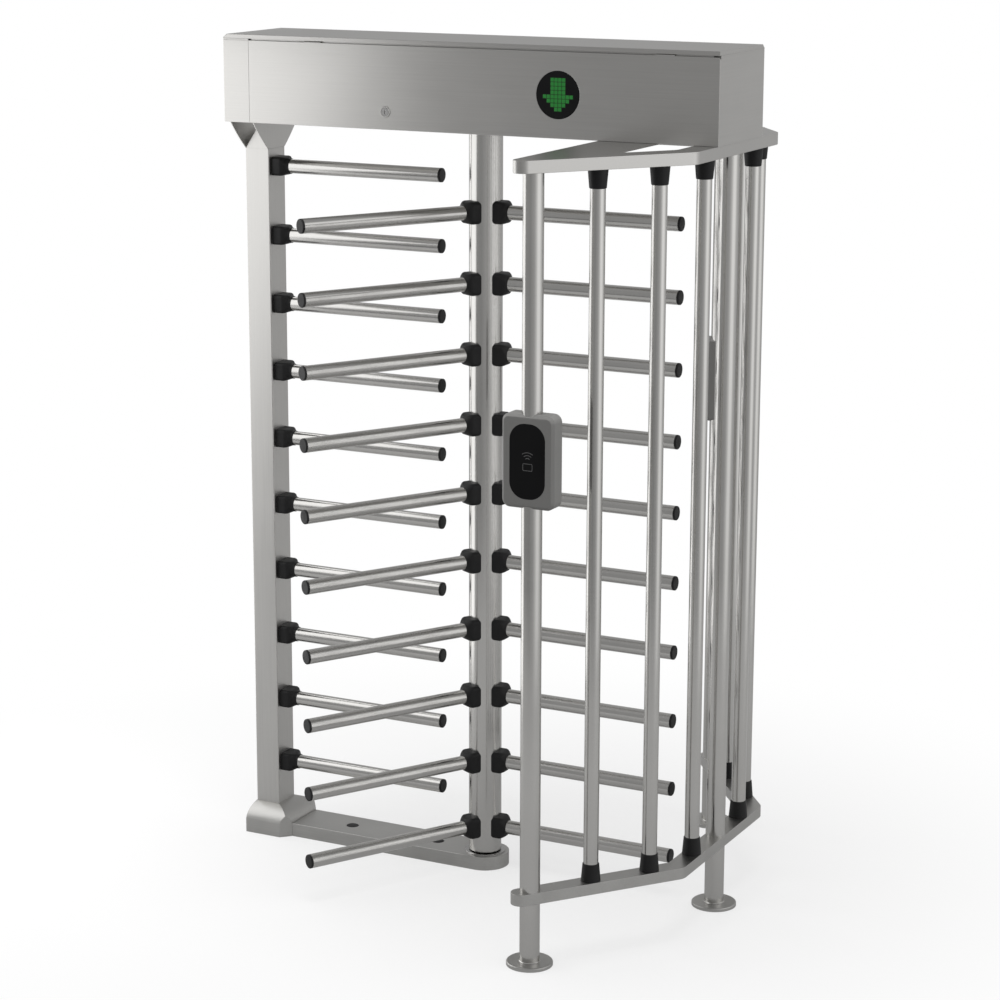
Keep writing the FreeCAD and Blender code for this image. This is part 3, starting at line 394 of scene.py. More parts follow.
rotor = dict(radius=0.04445, wall=0.003, bottom=0.044, top=2.04, edge=0.0004, arms=10,
             pitch=0.1875, firstArm=0.114, armRadius=0.019, armEnd=0.5515, reach=0.5565,
             sleeveEnd=0.0715, sleeveSunk=0.0004, overlap=0.002, cornerSteps=6,
             sleeve=[(0.032, 0.0296, 0.0296, 0.01), (0.054, 0.0296, 0.0296, 0.01),
                     (0.059, 0.0288, 0.0288, 0.012), (0.0635, 0.027, 0.027, 0.0155),
                     (0.067, 0.0247, 0.0247, 0.019), (0.0697, 0.0222, 0.0222, 0.021),
                     (0.0711, 0.0206, 0.0206, 0.0206), (0.0715, 0.02, 0.02, 0.02),
                     (0.0715, 0.0193, 0.0193, 0.0193), (0.0701, 0.019, 0.019, 0.019)])


def capShape(start, length, radius):
    # a plug with a rim and a slightly domed face
    return turned([(-0.001, 0), (-0.001, radius), (0, radius), (length * 0.55, radius),
                   (length * 0.8, radius - 0.0004), (length * 0.95, radius - 0.0014),
                   (length, radius - 0.003), (length, 0)], (start, 0, 0), (1, 0, 0), steps=40)


def armSet(firstArm, start, end, capLength, sleeve):
    # a tube along X at every level, the plug in its end and the sleeve round its root
    lifts = [(0, 0, firstArm + rotor["pitch"] * k) for k in range(rotor["arms"])]
    tube = rod((start, 0, 0), (1, 0, 0), end - start, rotor["armRadius"])
    plug = capShape(end, capLength, rotor["armRadius"])
    return [repeated(shape, lifts) for shape in (tube, plug, sleeve)]


def sleeveShape(start, sections):
    # rounded squares across X, each (distance, half width, half height, corner), joined in turn
    rings = []
    for x, halfY, halfZ, corner in sections:
        ring = roundedBox(-halfY, halfY, -halfZ, halfZ, min(corner, halfY - 1e-5, halfZ - 1e-5),
                          rotor["cornerSteps"])
        rings.append(np.column_stack([np.full(len(ring), start + x), ring]))
    return stack(rings)


def wingSleeveShape():
    # a moulded box whose root follows the column, sqrt(R^2 - y^2), and whose end is a dome
    points, faces = sleeveShape(0, rotor["sleeve"])
    root = slice(0, 4 * (rotor["cornerSteps"] + 1))
    points[root, 0] = np.sqrt(rotor["radius"] ** 2 - points[root, 1] ** 2) - rotor["sleeveSunk"]
    return points, faces


def makeRotor():
    wall, r, edge = rotor["wall"], rotor["radius"], rotor["edge"]
    length = rotor["top"] - rotor["bottom"]
    tube = turned([(0, r - edge), (edge, r), (length, r), (length, r - wall), (0, r - wall)],
                  (0, 0, rotor["bottom"]), (0, 0, 1), steps=96, closed=True)
    makePiece("rotorColumn", [tube], "uprightTubeSteel", ["rotor_column"],
              body="rotor")
    arms, caps, sleeves = armSet(rotor["firstArm"], rotor["sleeveEnd"] - rotor["overlap"],
                                 rotor["armEnd"], rotor["reach"] - rotor["armEnd"],
                                 wingSleeveShape())
    wings = (("A", 0), ("B", 120), ("C", 240))
    for wing, degrees in wings:
        makePiece("wing%sArms" % wing, [swung(arms, degrees)], "armSteel" + wing,
                  ["wing_%s_arms" % wing.lower()], body="rotor")
    makePiece("wingSleeves", [swung(sleeves, degrees) for wing, degrees in wings], "blackMoulding",
              ["wing_sleeves"], body="rotor")
    makePiece("wingEndCaps", [swung(caps, degrees) for wing, degrees in wings], "blackMoulding",
              ["wing_end_caps"], body="rotor")


makeRotor()
print("rotor dressed")


# left post, its foot and capital, and the comb

post = dict(left=-0.7093, right=-0.6358, halfDepth=0.0415, corner=0.0025, capitalBottom=1.936,
            headerBottom=2.0157, footTop=0.081, plateTop=0.038, footHalfDepth=0.0925,
            sideLip=0.0067, toe=0.0558, chamfer=0.0255, capitalHalfDepth=0.1185,
            sheet=0.003, gableRise=0.052, gableGap=0.0005, flangeCorner=0.001,
            footBulge=(0.3, 0.6), capitalBulge=(0.52, 0.47))
comb = dict(firstArm=0.201, tipEnd=-0.128, capLength=0.005, sleeveEnd=-0.5888,
            sleeve=[(0, 0.0306, 0.0248, 0.008), (0.0006, 0.0312, 0.0254, 0.0086),
                    (0.024, 0.0312, 0.0254, 0.0086), (0.0295, 0.0298, 0.0247, 0.011),
                    (0.0335, 0.0266, 0.0234, 0.015), (0.037, 0.0232, 0.0219, 0.0205),
                    (0.0405, 0.0213, 0.0211, 0.0209), (0.0462, 0.0208, 0.0208, 0.0208),
                    (0.047, 0.02, 0.02, 0.02), (0.047, 0.0192, 0.0192, 0.0192),
                    (0.0455, 0.019, 0.019, 0.019)])


def bulged(low, high, share, t):
    # a parabola from low to high that has come this share of the way at its middle
    bulge = low + (high - low) * share
    return (1 - t) ** 2 * low + 2 * t * (1 - t) * (2 * bulge - (low + high) / 2) + t ** 2 * high


def footRing(t):
    # the flared section at height t, from the plate's top at 0 to the foot's top at 1
    across, upwards = post["footBulge"]
    left, right = post["left"] - post["sideLip"], post["right"] + post["toe"]
    y = bulged(post["footHalfDepth"], post["halfDepth"], across, t)
    x1 = bulged(right, post["right"], across, t)
    x0 = bulged(left, post["left"], across, t)
    z = bulged(post["plateTop"], post["footTop"], upwards, t)
    limit = right + post["footHalfDepth"] - post["chamfer"]
    cutX, cutY = min(x1, limit - y), min(y, limit - x1)
    return [(x0, -y, z), (cutX, -y, z), (x1, -cutY, z), (x1, cutY, z), (cutX, y, z), (x0, y, z)]


def makePost():
    p = post
    left, right, half, bottom, top = (p["left"], p["right"], p["halfDepth"], p["capitalBottom"],
                                      p["headerBottom"])
    shaft = slab(roundedBox(left, right, -half, half, p["corner"], 6), 0, bottom, edges["cut"])
    makePiece("leftPost", [shaft], "postSteel", ["left_post"])
    floorRing = [(x, y, 0) for x, y, _ in footRing(0)]
    foot = stack([floorRing] + [footRing(t) for t in np.linspace(0, 1, 17)])
    makePiece("postFoot", [foot], "footSteel", ["post_foot"], sharp=20)
    t = np.linspace(0, 1, 13)
    outwards, upwards = p["capitalBulge"]
    depth = bulged(half, p["capitalHalfDepth"], outwards, t)
    height = bulged(bottom, top, upwards, t)
    outline = np.concatenate([np.column_stack([depth, height]),
                              np.column_stack([-depth[::-1], height[::-1]])])
    cheeks = [slab(outline, 0, p["sheet"], edges["sheet"], place=onSide(x))
              for x in (left, right - p["sheet"])]
    gable = [(left + p["gableGap"], bottom), (right - p["gableGap"], bottom),
             ((left + right) / 2, bottom + p["gableRise"])]
    walls = [slab(gable, 0, p["sheet"], edges["thin"], place=onFront(y))
             for y in (-half, half - p["sheet"])]
    flange = slab(roundedBox(left, right, -half, half, p["flangeCorner"], 2), top - p["sheet"],
                  top, edges["thin"])
    makePiece("postCapital", cheeks + walls + [flange], "postSteel", ["post_capital"],
              sharp=20)


def makeComb():
    arms, caps, sleeves = armSet(comb["firstArm"], comb["sleeveEnd"] - rotor["overlap"],
                                 comb["tipEnd"] - comb["capLength"], comb["capLength"],
                                 sleeveShape(post["right"], comb["sleeve"]))
    makePiece("combArms", [arms], "armSteelA", ["comb_arms"])
    makePiece("combEndCaps", [caps], "blackMoulding", ["comb_end_caps"])
    makePiece("combSleeves", [sleeves], "blackMoulding", ["comb_sleeves"])


makePost()
makeComb()
print("post and comb dressed")


# base plate and lower pivot

base = dict(half=0.066, footEnd=-0.58, top=0.038, recessFloor=0.03, anchors=(-0.147, -0.42),
            boltHole=0.009, recess=0.0175, coverTop=0.0384, coverBottom=0.035,
            discRadius=0.056, discTop=0.041, discEdge=0.0008, pinRadius=0.0125, pinTop=0.078,
            pinEdge=0.001, sealRadius=0.028, sealTop=0.0437, sealLip=0.0012)


def makeBase():
    b = base
    half, end, top = b["half"], b["footEnd"], b["top"]
    plan = np.concatenate([[(end, -half)], arc((0, 0), half, -90, 90, 40), [(end, half)]])
    lower = slab(plan, 0, b["recessFloor"], edges["soft"],
                 [roundHole(b["boltHole"], (x, 0), steps=32) for x in b["anchors"]])
    upper = slab(plan, b["recessFloor"], top, edges["plate"],
                 [roundHole(b["recess"], (x, 0)) for x in b["anchors"]],
                 lowEdge=[(0, 0)], steps=3)
    makePiece("basePlate", [lower, upper], "footSteel", ["base_plate"], sharp=20)
    r, thick = b["recess"], b["coverTop"] - b["coverBottom"]
    covers = [turned([(0, 0), (0, r - 0.0004), (0.0026, r - 0.0004), (thick, r - 0.0022),
                      (thick, 0)], (x, 0, b["coverBottom"]), (0, 0, 1), steps=40)
              for x in b["anchors"]]
    makePiece("anchorCovers", covers, "blackMoulding", ["anchor_covers"])
    r, pin, edge, pinEdge = b["discRadius"], b["pinRadius"], b["discEdge"], b["pinEdge"]
    thick, tall = b["discTop"] - top, b["pinTop"] - top
    disc = turned([(0, 0), (0, r), (thick - edge, r), (thick, r - edge), (thick, pin),
                   (tall - pinEdge, pin), (tall, pin - pinEdge), (tall, 0)],
                  (0, 0, top), (0, 0, 1), steps=64)
    makePiece("pivotDisc", [disc], "machinedSteel", ["pivot_disc"])
    r, lip, thick = b["sealRadius"], b["sealLip"], b["sealTop"] - b["discTop"]
    seal = turned([(0, pin), (0, r), (lip, r), (0.002, r - lip), (thick, r - lip),
                   (thick, pin)], (0, 0, b["discTop"]), (0, 0, 1), steps=64, closed=True)
    makePiece("pivotSeal", [seal], "sealRubber", ["pivot_seal"])


makeBase()
print("base dressed")


# cage

cage = dict(end=(0.426, 0.5876), corner=(0.6805, 0.2564), middleTube=0.1589,
            tubeSteps=(0.1706, 0.338), postRadius=0.0255, tubeRadius=0.01905,
            flange=[(0, 0), (0, 0.057), (0.0008, 0.059), (0.0076, 0.059), (0.0092, 0.0583),
                    (0.0102, 0.057), (0.0106, 0.055), (0.0106, 0)],
            flangeTop=0.0106, weld=0.0018, railLow=0.166, railHigh=0.196,
            railWidth=0.0515, overhang=0.025, plateLow=1.9847, plateHigh=2.0157,
            plateBand=0.053, windowBand=0.0375, chord=0.16, bridge=0.13, windowCorner=0.012,
            plateSheet=0.003, bend=0.014, sleeveLength=0.046, sleeveRoot=0.025, sleeveTip=0.021)
cageAlong = unit(np.subtract(cage["corner"], cage["end"]))


def cagePoint(step, side):
    # a point on the slanted line, so far from the end post; side is -1 at the front
    return (np.array(cage["end"]) + cageAlong * step) * (1, side)


def cageCorner(distance, side):
    # where the slanted and the straight line meet when both move outwards by distance
    outward = np.array([-cageAlong[1], cageAlong[0] * side])
    scale = distance / (1 + outward[0])
    return np.array([cage["corner"][0] + (outward[0] + 1) * scale,
                     side * cage["corner"][1] + outward[1] * scale])


def roundEnd(width, side, start, end, steps=24):
    # the round end of the rail or the plate, between two headings in degrees
    return arc(cagePoint(-cage["overhang"], side), width / 2, start, end, steps)


def cageBend(distance, side):
    # the rounded bend of the bar at its corner: a curve pulled towards the sharp corner point
    sharp = cageCorner(distance, side)
    toEnd = -cageAlong * (1, side)
    toMiddle = np.array([0, -side])
    t = np.linspace(0, 1, 8)[:, None]
    curve = sharp + cage["bend"] * ((1 - t) ** 2 * toEnd + t ** 2 * toMiddle)
    return curve if side < 0 else curve[::-1]


def barPlan(width, turn):
    # a bent bar of the cage seen from above: round ends, an outer and an inner run
    half = width / 2
    return np.concatenate([roundEnd(width, -1, turn - 180, turn), cageBend(half, -1),
                           cageBend(half, 1), roundEnd(width, 1, -turn, 180 - turn),
                           [cageCorner(-half, 1), cageCorner(-half, -1)]])


def makeCage():
    c = cage
    posts = [cagePoint(0, -1), (c["corner"][0], 0), cagePoint(0, 1)]
    tubes = []
    for side in (-1, 1):
        tubes += [cagePoint(step, side) for step in c["tubeSteps"]]
        tubes.append((c["corner"][0], side * c["middleTube"]))
    outwardTurn = math.degrees(math.atan2(-cageAlong[0], -cageAlong[1]))
    rail = slab(barPlan(c["railWidth"], outwardTurn), c["railLow"], c["railHigh"],
                edges["plate"], steps=3)
    makePiece("bottomRail", [rail], "footSteel", ["bottom_rail"], sharp=20)
    half = c["plateBand"] / 2
    plan = np.concatenate([roundEnd(c["plateBand"], -1, -180, outwardTurn), cageBend(half, -1),
                           cageBend(half, 1), roundEnd(c["plateBand"], 1, -outwardTurn, 180)])
    left = cagePoint(-c["overhang"], 1)[0] - half + c["chord"]
    windows = []
    for side in (-1, 1):
        corner = cageCorner(-c["windowBand"], side)
        drop = (corner[0] - left) * -cageAlong[1] / cageAlong[0]
        window = [(left, side * c["bridge"]), (corner[0], side * c["bridge"]), tuple(corner),
                  (left, corner[1] + side * drop)]
        windows.append(softened(window if side > 0 else window[::-1], c["windowCorner"])[::-1])
    # a sheet with the two windows lies on a bent bar that carries the posts and tubes
    seam = c["plateHigh"] - c["plateSheet"]
    plate = slab(plan, seam, c["plateHigh"], edges["plate"], windows, lowEdge=edges["hair"],
                 steps=3)
    band = slab(barPlan(c["plateBand"], outwardTurn), c["plateLow"], seam, edges["hair"],
                lowEdge=edges["plate"], steps=3)
    makePiece("topPlate", [plate, band], "sheetSteel", ["top_plate"], sharp=20)
    makePiece("floorFlanges", [turned(c["flange"], (*p, 0), (0, 0, 1), steps=64) for p in posts],
              "footSteel", ["floor_flanges"])

    def upright(radius, p, low, high, steps=56):
        return rod((*p, low), (0, 0, 1), high - low, radius, steps)

    r, weld = c["postRadius"], c["weld"]
    lower = [upright(r, p, c["flangeTop"], c["railLow"]) for p in posts]
    welds = [turned([(0, 0), (0, r + weld), (weld / 3, r + weld * 2 / 3), (weld, r + weld / 9),
                     (weld, 0)], (*p, c["flangeTop"]), (0, 0, 1), steps=56) for p in posts]
    makePiece("lowerPosts", lower + welds, "uprightTubeSteel", ["lower_posts"])
    makePiece("cagePosts", [upright(r, p, c["railHigh"], c["plateLow"]) for p in posts],
              "uprightTubeSteel", ["cage_posts"])
    root, tip, length = c["sleeveRoot"], c["sleeveTip"], c["sleeveLength"]
    low = c["railHigh"] + length - rotor["overlap"]
    high = c["plateLow"] - length + rotor["overlap"]
    makePiece("cageTubes", [upright(c["tubeRadius"], p, low, high, 48) for p in tubes],
              "uprightTubeSteel", ["cage_tubes"])
    cup = [(0, 0), (0, root - 0.0006), (0.0006, root), (length - 0.0016, tip + 0.0002),
           (length - 0.0004, tip - 0.0006), (length, tip - 0.0014),
           (length, c["tubeRadius"] + 0.0003), (length - 0.0016, c["tubeRadius"]),
           (length - 0.0016, 0)]
    makePiece("lowerTubeSleeves", [turned(cup, (*p, c["railHigh"]), (0, 0, 1)) for p in tubes],
              "blackMoulding", ["lower_tube_sleeves"])
    makePiece("upperTubeSleeves", [turned(cup, (*p, c["plateLow"]), (0, 0, -1)) for p in tubes],
              "blackMoulding", ["upper_tube_sleeves"])


makeCage()
print("cage dressed")


# readers

reader = dict(x=0.426, halfWidth=0.07, low=1.178, high=1.409, corner=0.02, bevel=0.007,
              front=-0.615, back=-0.5606, windowHalf=0.048, windowLow=1.2015, windowHigh=1.3875,
              windowCorner=0.042, windowDepth=0.0015, windowGap=0.0003, windowProud=0.0002)
# the printed sign on the window, a plain card and three waves: proud by a hair
sign = dict(line=0.0013, proud=0.0003, sunk=0.0004, card=(0.414, 0.44, 1.272, 1.29),
            corner=0.003, innerCorner=0.002, waves=(0.009, 0.016, 0.023),
            wavesFrom=(0.427, 1.294), spread=38)


def makeReaders():
    r = reader
    x, bevel, front = r["x"], r["bevel"], onFront(r["front"])
    shell = [(0, bevel + 0.0012), (0.0004, bevel - 0.0002), (bevel - 0.0008, 0.0008),
             (bevel + 0.0006, 0)]
    body = roundedBox(x - r["halfWidth"], x + r["halfWidth"], r["low"], r["high"], r["corner"], 10)
    pill = roundedBox(x - r["windowHalf"], x + r["windowHalf"], r["windowLow"], r["windowHigh"],
                      r["windowCorner"], 16)
    housing = slab(body, 0, r["back"] - r["front"], shell, place=front)
    window = slab(inset(pill, r["windowGap"]), -r["windowProud"], r["windowDepth"],
                  edges["soft"], place=front, steps=3)
    left, right, low, high = sign["card"]
    line, half, spread = sign["line"], sign["line"] / 2, sign["spread"]
    hole = roundedBox(left + line, right - line, low + line, high - line, sign["innerCorner"], 5)
    drawn = [(roundedBox(left, right, low, high, sign["corner"], 5), [hole[::-1]])]
    for radius in sign["waves"]:
        # a band between two arcs about the waves' middle
        outer = arc(sign["wavesFrom"], radius + half, 90 - spread, 90 + spread, 16)
        inner = arc(sign["wavesFrom"], radius - half, 90 + spread, 90 - spread, 16)
        drawn.append((np.concatenate([outer, inner]), []))
    marks = [slab(outline, -sign["proud"], sign["sunk"], edges["hair"], holes, front)
             for outline, holes in drawn]
    for side in ("front", "rear"):
        makePiece(side + "ReaderSign", [faced(mark, side) for mark in marks], "printedSign", [],
                  sharp=20)
    for side in ("front", "rear"):
        makePiece(side + "ReaderHousing", [faced(housing, side)], "readerShell",
                  [side + "_reader_housing"], sharp=20)
        makePiece(side + "ReaderWindow", [faced(window, side)], "smokedWindow",
                  [side + "_reader_window"], sharp=20)


makeReaders()
print("readers dressed")


# header

header = dict(halfLength=0.7093, halfDepth=0.1455, low=2.0157, high=2.2358, seam=-0.63,
              sheet=0.002, capWall=0.003, capCorner=0.004, floorTop=2.0187, gap=0.0005,
              doorTop=2.2318, coverShoulder=2.2373, coverTop=2.2468, coverInset=0.012,
              hingeY=-0.1415, hingeZ=2.2313, knuckleStarts=(-0.4603, 0.5397), knuckleLength=0.05,
              knuckleRadius=0.004, pinBore=0.0017, lipTop=2.0447, play=0.0003, groove=0.0016,
              grooveDepth=0.0012, cableHole=0.015, columnGap=0.0055, sideLip=(0.0005, 0.01),
              sideLipGap=(0.001, 0.008), notch=(0.0045, 0.004), ledge=(0.02, 0.0005),
              lipInset=(0.008, 0.006))
indicator = dict(x=0.2753, z=2.1247, radius=0.06025, gap=0.00025, pitch=0.0105, dot=0.0044,
                 rows=(4, 4, 4, 4, 8, 6, 4, 2), topRow=0.0375)
lock = dict(x=-0.2185, z=2.0615, ring=0.015, plug=0.011, proud=0.002, depth=0.014,
            barrel=0.009, keyHalf=0.0011, keyHeight=0.0045, cam=(0.006, 0.026),
            camCorner=0.0055, camThick=0.003)


def coverPlan(shrink, slope):
    # the front and right edges drawn in by one amount, the left and rear edges by the other
    h = header
    r = h["capCorner"]
    left, right = -h["halfLength"] + slope, h["halfLength"] - shrink
    front, rear = -h["halfDepth"] + shrink, h["halfDepth"] - slope
    return np.concatenate([[(right, front), (right, rear)],
                           arc((left + r, rear - r), r, 90, 180, 6),
                           arc((left + r, front + r), r, 180, 270, 6)])


def makeHeader():
    h, ind = header, indicator
    y, right, sheet, seam = h["halfDepth"], h["halfLength"], h["sheet"], h["seam"]
    low, high, floorTop, doorTop = h["low"], h["high"], h["floorTop"], h["doorTop"]
    start = seam + h["gap"]

    def bend(shrink):
        # the end cap's wall seen from above, drawn in by shrink
        r, left, side = h["capCorner"] - shrink, shrink - right, y - shrink
        return np.concatenate([[(seam, side)], arc((left + r, side - r), r, 90, 180, 6),
                               arc((left + r, r - side), r, 180, 270, 6), [(seam, -side)]])

    # the end piece stops where the door does; the skirt of the cover goes on above a groove
    walls, grooved = [np.concatenate([bend(depth), bend(h["capWall"])[::-1]])
                      for depth in (0, h["grooveDepth"])]
    cap = [slab(walls, low, doorTop, edges["soft"]),
           slab(grooved, doorTop - 0.001, doorTop + 0.003, edges["hair"]),
           slab(walls, doorTop + h["groove"], high, edges["sheet"]),
           slab(bend(0.0006), low, floorTop, edges["cut"],
                [roundHole(h["cableHole"], ((post["left"] + post["right"]) / 2, 0), steps=32)])]
    makePiece("leftEndCap", cap, "sheetSteel", ["left_end_cap"], sharp=20)
    holes = [roundHole(ind["radius"], (ind["x"], ind["z"]), steps=72),
             roundHole(lock["plug"], (lock["x"], lock["z"]))]
    door = [slab(box(start, right, low + h["gap"], doorTop), 0, sheet, edges["sheet"], holes,
                 onFront(-y))]
    for x in (start, right - sheet - h["play"] - sheet):
        door.append(slab(box(x, x + sheet, h["lipTop"] + h["sideLipGap"][0],
                             h["hingeZ"] - h["sideLipGap"][1]), *h["sideLip"], edges["thin"],
                         place=onFront(-y)))
    r, length, fine = h["knuckleRadius"], h["knuckleLength"], edges["thin"]
    knuckle = [(0, h["pinBore"]), (0, r - fine), (fine, r), (length - fine, r),
               (length, r - fine), (length, h["pinBore"])]
    door += [turned(knuckle, (x, h["hingeY"], h["hingeZ"]), (1, 0, 0), steps=32,
                    closed=True) for x in h["knuckleStarts"]]
    makePiece("frontDoor", door, "sheetSteel", ["front_door"], sharp=20,
              body="front_door")
    panel = slab(box(start, right, low, high), 0, sheet, edges["sheet"], holes[:1],
                 onFront(y - sheet))
    makePiece("rearPanel", [panel], "sheetSteel", ["rear_panel"], sharp=20)
    front, rear = sheet - y + h["play"], y - sheet
    notch, notchLow = h["hingeY"] + h["notch"][0], h["hingeZ"] - h["notch"][1]
    outline = [(front, low), (rear, low), (rear, high), (notch, high), (notch, notchLow),
               (front, notchLow)]
    endPlate = slab(outline, -sheet, 0, edges["cut"], place=onSide(right))
    ledge = slab(box(*(right - step for step in h["ledge"]), notch, rear), high - sheet, high,
                 edges["thin"])
    makePiece("rightEndPlate", [endPlate, ledge], "capEndSteel", ["right_end_plate"],
              sharp=20)
    # the cover, from its inside to its top: (how far the front and right sides are drawn in,
    # how far the left and rear sides are, height); only the left and rear sides slope
    slope, inner, top = h["coverInset"], h["coverInset"] + sheet, h["coverTop"]
    cover = stack([level(coverPlan(upright, sloped), z) for upright, sloped, z in (
        (inner, inner, top - sheet), (inner, inner, high), (0.0004, 0.0004, high),
        (0, 0, high + 0.0004), (0, 0, h["coverShoulder"]), (0, slope - 0.001, top - 0.0008),
        (0.0003, slope - 0.0006, top - 0.0003), (0.001, slope, top))])
    makePiece("topCover", [cover], "sheetSteel", ["top_cover"], sharp=15)
    pan = [slab(box(seam, right - sheet, front, rear), low, floorTop, edges["cut"],
                [roundHole(rotor["radius"] + h["columnGap"], (0, 0), steps=64)])]
    for side in (-1, 1):
        near, far = sorted(side * (y - step) for step in h["lipInset"])
        pan.append(slab(box(start, right - sheet, near, far), floorTop - 0.001, h["lipTop"],
                        edges["cut"]))
    makePiece("headerFloor", pan, "sheetSteel", ["header_floor"], sharp=20)


def makeIndicators():
    ind = indicator
    x, y, pitch, dot = ind["x"], -header["halfDepth"], ind["pitch"], ind["dot"]
    wide, top = ind["radius"] - ind["gap"], ind["z"] + ind["topRow"]
    lens = turned([(0, 0), (0, wide - 0.0008), (0.0003, wide), (0.002, wide), (0.002, 0)],
                  (x, y, ind["z"]), (0, 1, 0), steps=72)
    places = [(x + (i - (count - 1) / 2) * pitch, 0, top - row * pitch)
              for row, count in enumerate(ind["rows"]) for i in range(count)]
    cell = slab(roundedBox(-dot, dot, -dot, dot, 0.0016, 3), -0.0003, 0.0004, edges["thin"],
                place=onFront(y))
    dots = repeated(cell, places)
    # the arrow's lit field: its stepped outline, a little wider than the dots
    steps = [(x + count * pitch / 2, top - (row + shift) * pitch)
             for row, count in enumerate(ind["rows"]) for shift in (-0.5, 0.5)]
    outline = [(2 * x - a, z) for a, z in steps] + steps[::-1]
    outline = [a for a, b in zip(outline, outline[1:] + outline[:1]) if math.dist(a, b) > 1e-6]
    field = slab(outline, -0.00015, 0.001, edges["hair"], place=onFront(y))
    for side, body in (("front", "front_door"), ("rear", "frame")):
        makePiece(side + "IndicatorLens", [faced(lens, side)], "smokedWindow",
                  [side + "_indicator_lens"], sharp=20, body=body)
        makePiece(side + "ArrowDots", [faced(dots, side)], "ledDot", [], sharp=20,
                  body=body)
        makePiece(side + "ArrowField", [faced(field, side)], "ledField", [],
                  sharp=20, body=body)


def makeLock():
    k = lock
    x, y, z, plug = k["x"], -header["halfDepth"], k["z"], k["plug"]
    outer, proud, depth, barrelRadius = k["ring"], k["proud"], k["depth"], k["barrel"]
    ring = turned([(0, outer - 0.0012), (0.0006, outer - 0.0003), (0.0012, outer),
                   (proud, outer), (proud, plug + 0.0002), (0.0004, plug + 0.0002),
                   (0, plug + 0.0006)], (x, y - proud, z), (0, 1, 0), steps=56, closed=True)
    makePiece("lockRing", [ring], "capEndSteel", ["lock_ring"], body="front_door")
    keyway = roundedBox(x - k["keyHalf"], x + k["keyHalf"], z - k["keyHeight"],
                        z + k["keyHeight"], 0.0009, 4)[::-1]
    face = slab(fullRing(plug, (x, z), 56), edges["cut"] - proud, header["sheet"],
                edges["sheet"], [keyway], onFront(y))
    seat = turned([(0.0006, 0), (0.0006, plug - 0.001), (0.0018, plug - 0.001), (0.0018, 0)],
                  (x, y, z), (0, 1, 0), steps=32)
    barrel = turned([(0.0016, 0), (0.0016, barrelRadius), (depth - 0.0004, barrelRadius),
                     (depth, barrelRadius - 0.0004), (depth, 0)], (x, y, z), (0, 1, 0), steps=40)
    half, reach = k["cam"]
    cam = slab(roundedBox(x - half, x + reach, z - half, z + half, k["camCorner"]),
               depth - k["camThick"], depth, edges["thin"], place=onFront(y))
    makePiece("lockBarrel", [face, seat, barrel, cam], "machinedSteel", ["lock_barrel"],
              sharp=20, body="door_lock")


makeHeader()
makeIndicators()
makeLock()
print("header dressed")


# floor, light and camera

studio = dict(floorRadius=3.4, floorRough=0.9, floorTone=0.9, floorMirrored=0.3,
              floorWhite=0.66, floorFade=(0.5, 2.1), floorInMetal=0.35,
              skyLevel=1.0, skyInMetal=0.04, lowLevel=0.4, lowFade=(-0.45, -0.12),
              overhead=0.36, overheadFade=(0.5, 0.8),
              camera=(3.3017, -6.4533, 2.7307), heading=27.447, pitch=13.23,
              lens=100.21, filmWidth=36.0, shiftX=0.031, farthest=100)
# brightness of the studio round the object: (degrees from -Y towards -X, level)
studioRound = [(-180, 0.4), (-150, 0.49), (-128, 0.66), (-100, 1.12), (-80, 1.12), (-60, 0.72),
               (-40, 0.45), (-20, 0.38), (5, 0.3), (30, 0.32), (48, 0.32), (70, 0.35),
               (100, 0.38), (120, 0.4), (150, 0.43), (180, 0.44)]
# each lamp: where it hangs, its heading (degrees from -Y towards -X) and height seen from the
# object, its width and height, the level its face shows, and whether metal mirrors it
lamps = dict(leftBox=((-1.39, -0.333, 1.096), 86.4, 24.5, (1.805, 2.575), 1.12, True),
             topBox=((0.3, -0.5, 4.6), 0, 85, (2.8, 2.4), 5.0, False))


def makeFloor():
    s = studio
    points = level(fullRing(s["floorRadius"], steps=96), 0)
    mesh = bpy.data.meshes.new("studioFloor")
    mesh.from_pydata(points.tolist(), [], [list(range(len(points)))])
    material = bpy.data.materials.new("studioFloor")
    material.use_nodes = True
    tree = material.node_tree
    where = newNode(tree, "ShaderNodeTexCoord", {}).outputs["Object"]
    away = newNode(tree, "ShaderNodeVectorMath", {0: where}, operation="LENGTH")
    fade = ranged(tree, away.outputs["Value"], s["floorFade"], (s["floorWhite"], 1), "SMOOTHSTEP")
    ray = newNode(tree, "ShaderNodeLightPath", {}).outputs
    # paler to the camera than in the reflections and the light it sends back up
    tone = ranged(tree, ray["Is Camera Ray"], (0, 1), (s["floorMirrored"], s["floorTone"]))
    matte = fill(tree, tree.nodes["Principled BSDF"],
                 {"Base Color": tone, "Roughness": s["floorRough"]})
    mirrored = maths(tree, "MULTIPLY", ray["Is Glossy Ray"], s["floorInMetal"])
    seen = maths(tree, "ADD", ray["Is Camera Ray"], mirrored)
    seen = maths(tree, "MAXIMUM", seen, ray["Is Transmission Ray"])
    white = newNode(tree, "ShaderNodeEmission", {})
    blend = newNode(tree, "ShaderNodeMixShader", {
        0: maths(tree, "MULTIPLY", fade, seen), 1: matte.outputs[0], 2: white.outputs[0]})
    fill(tree, tree.nodes["Material Output"], {"Surface": blend.outputs[0]})
    mesh.materials.append(material)
    floor = newObject("studioFloor", mesh)


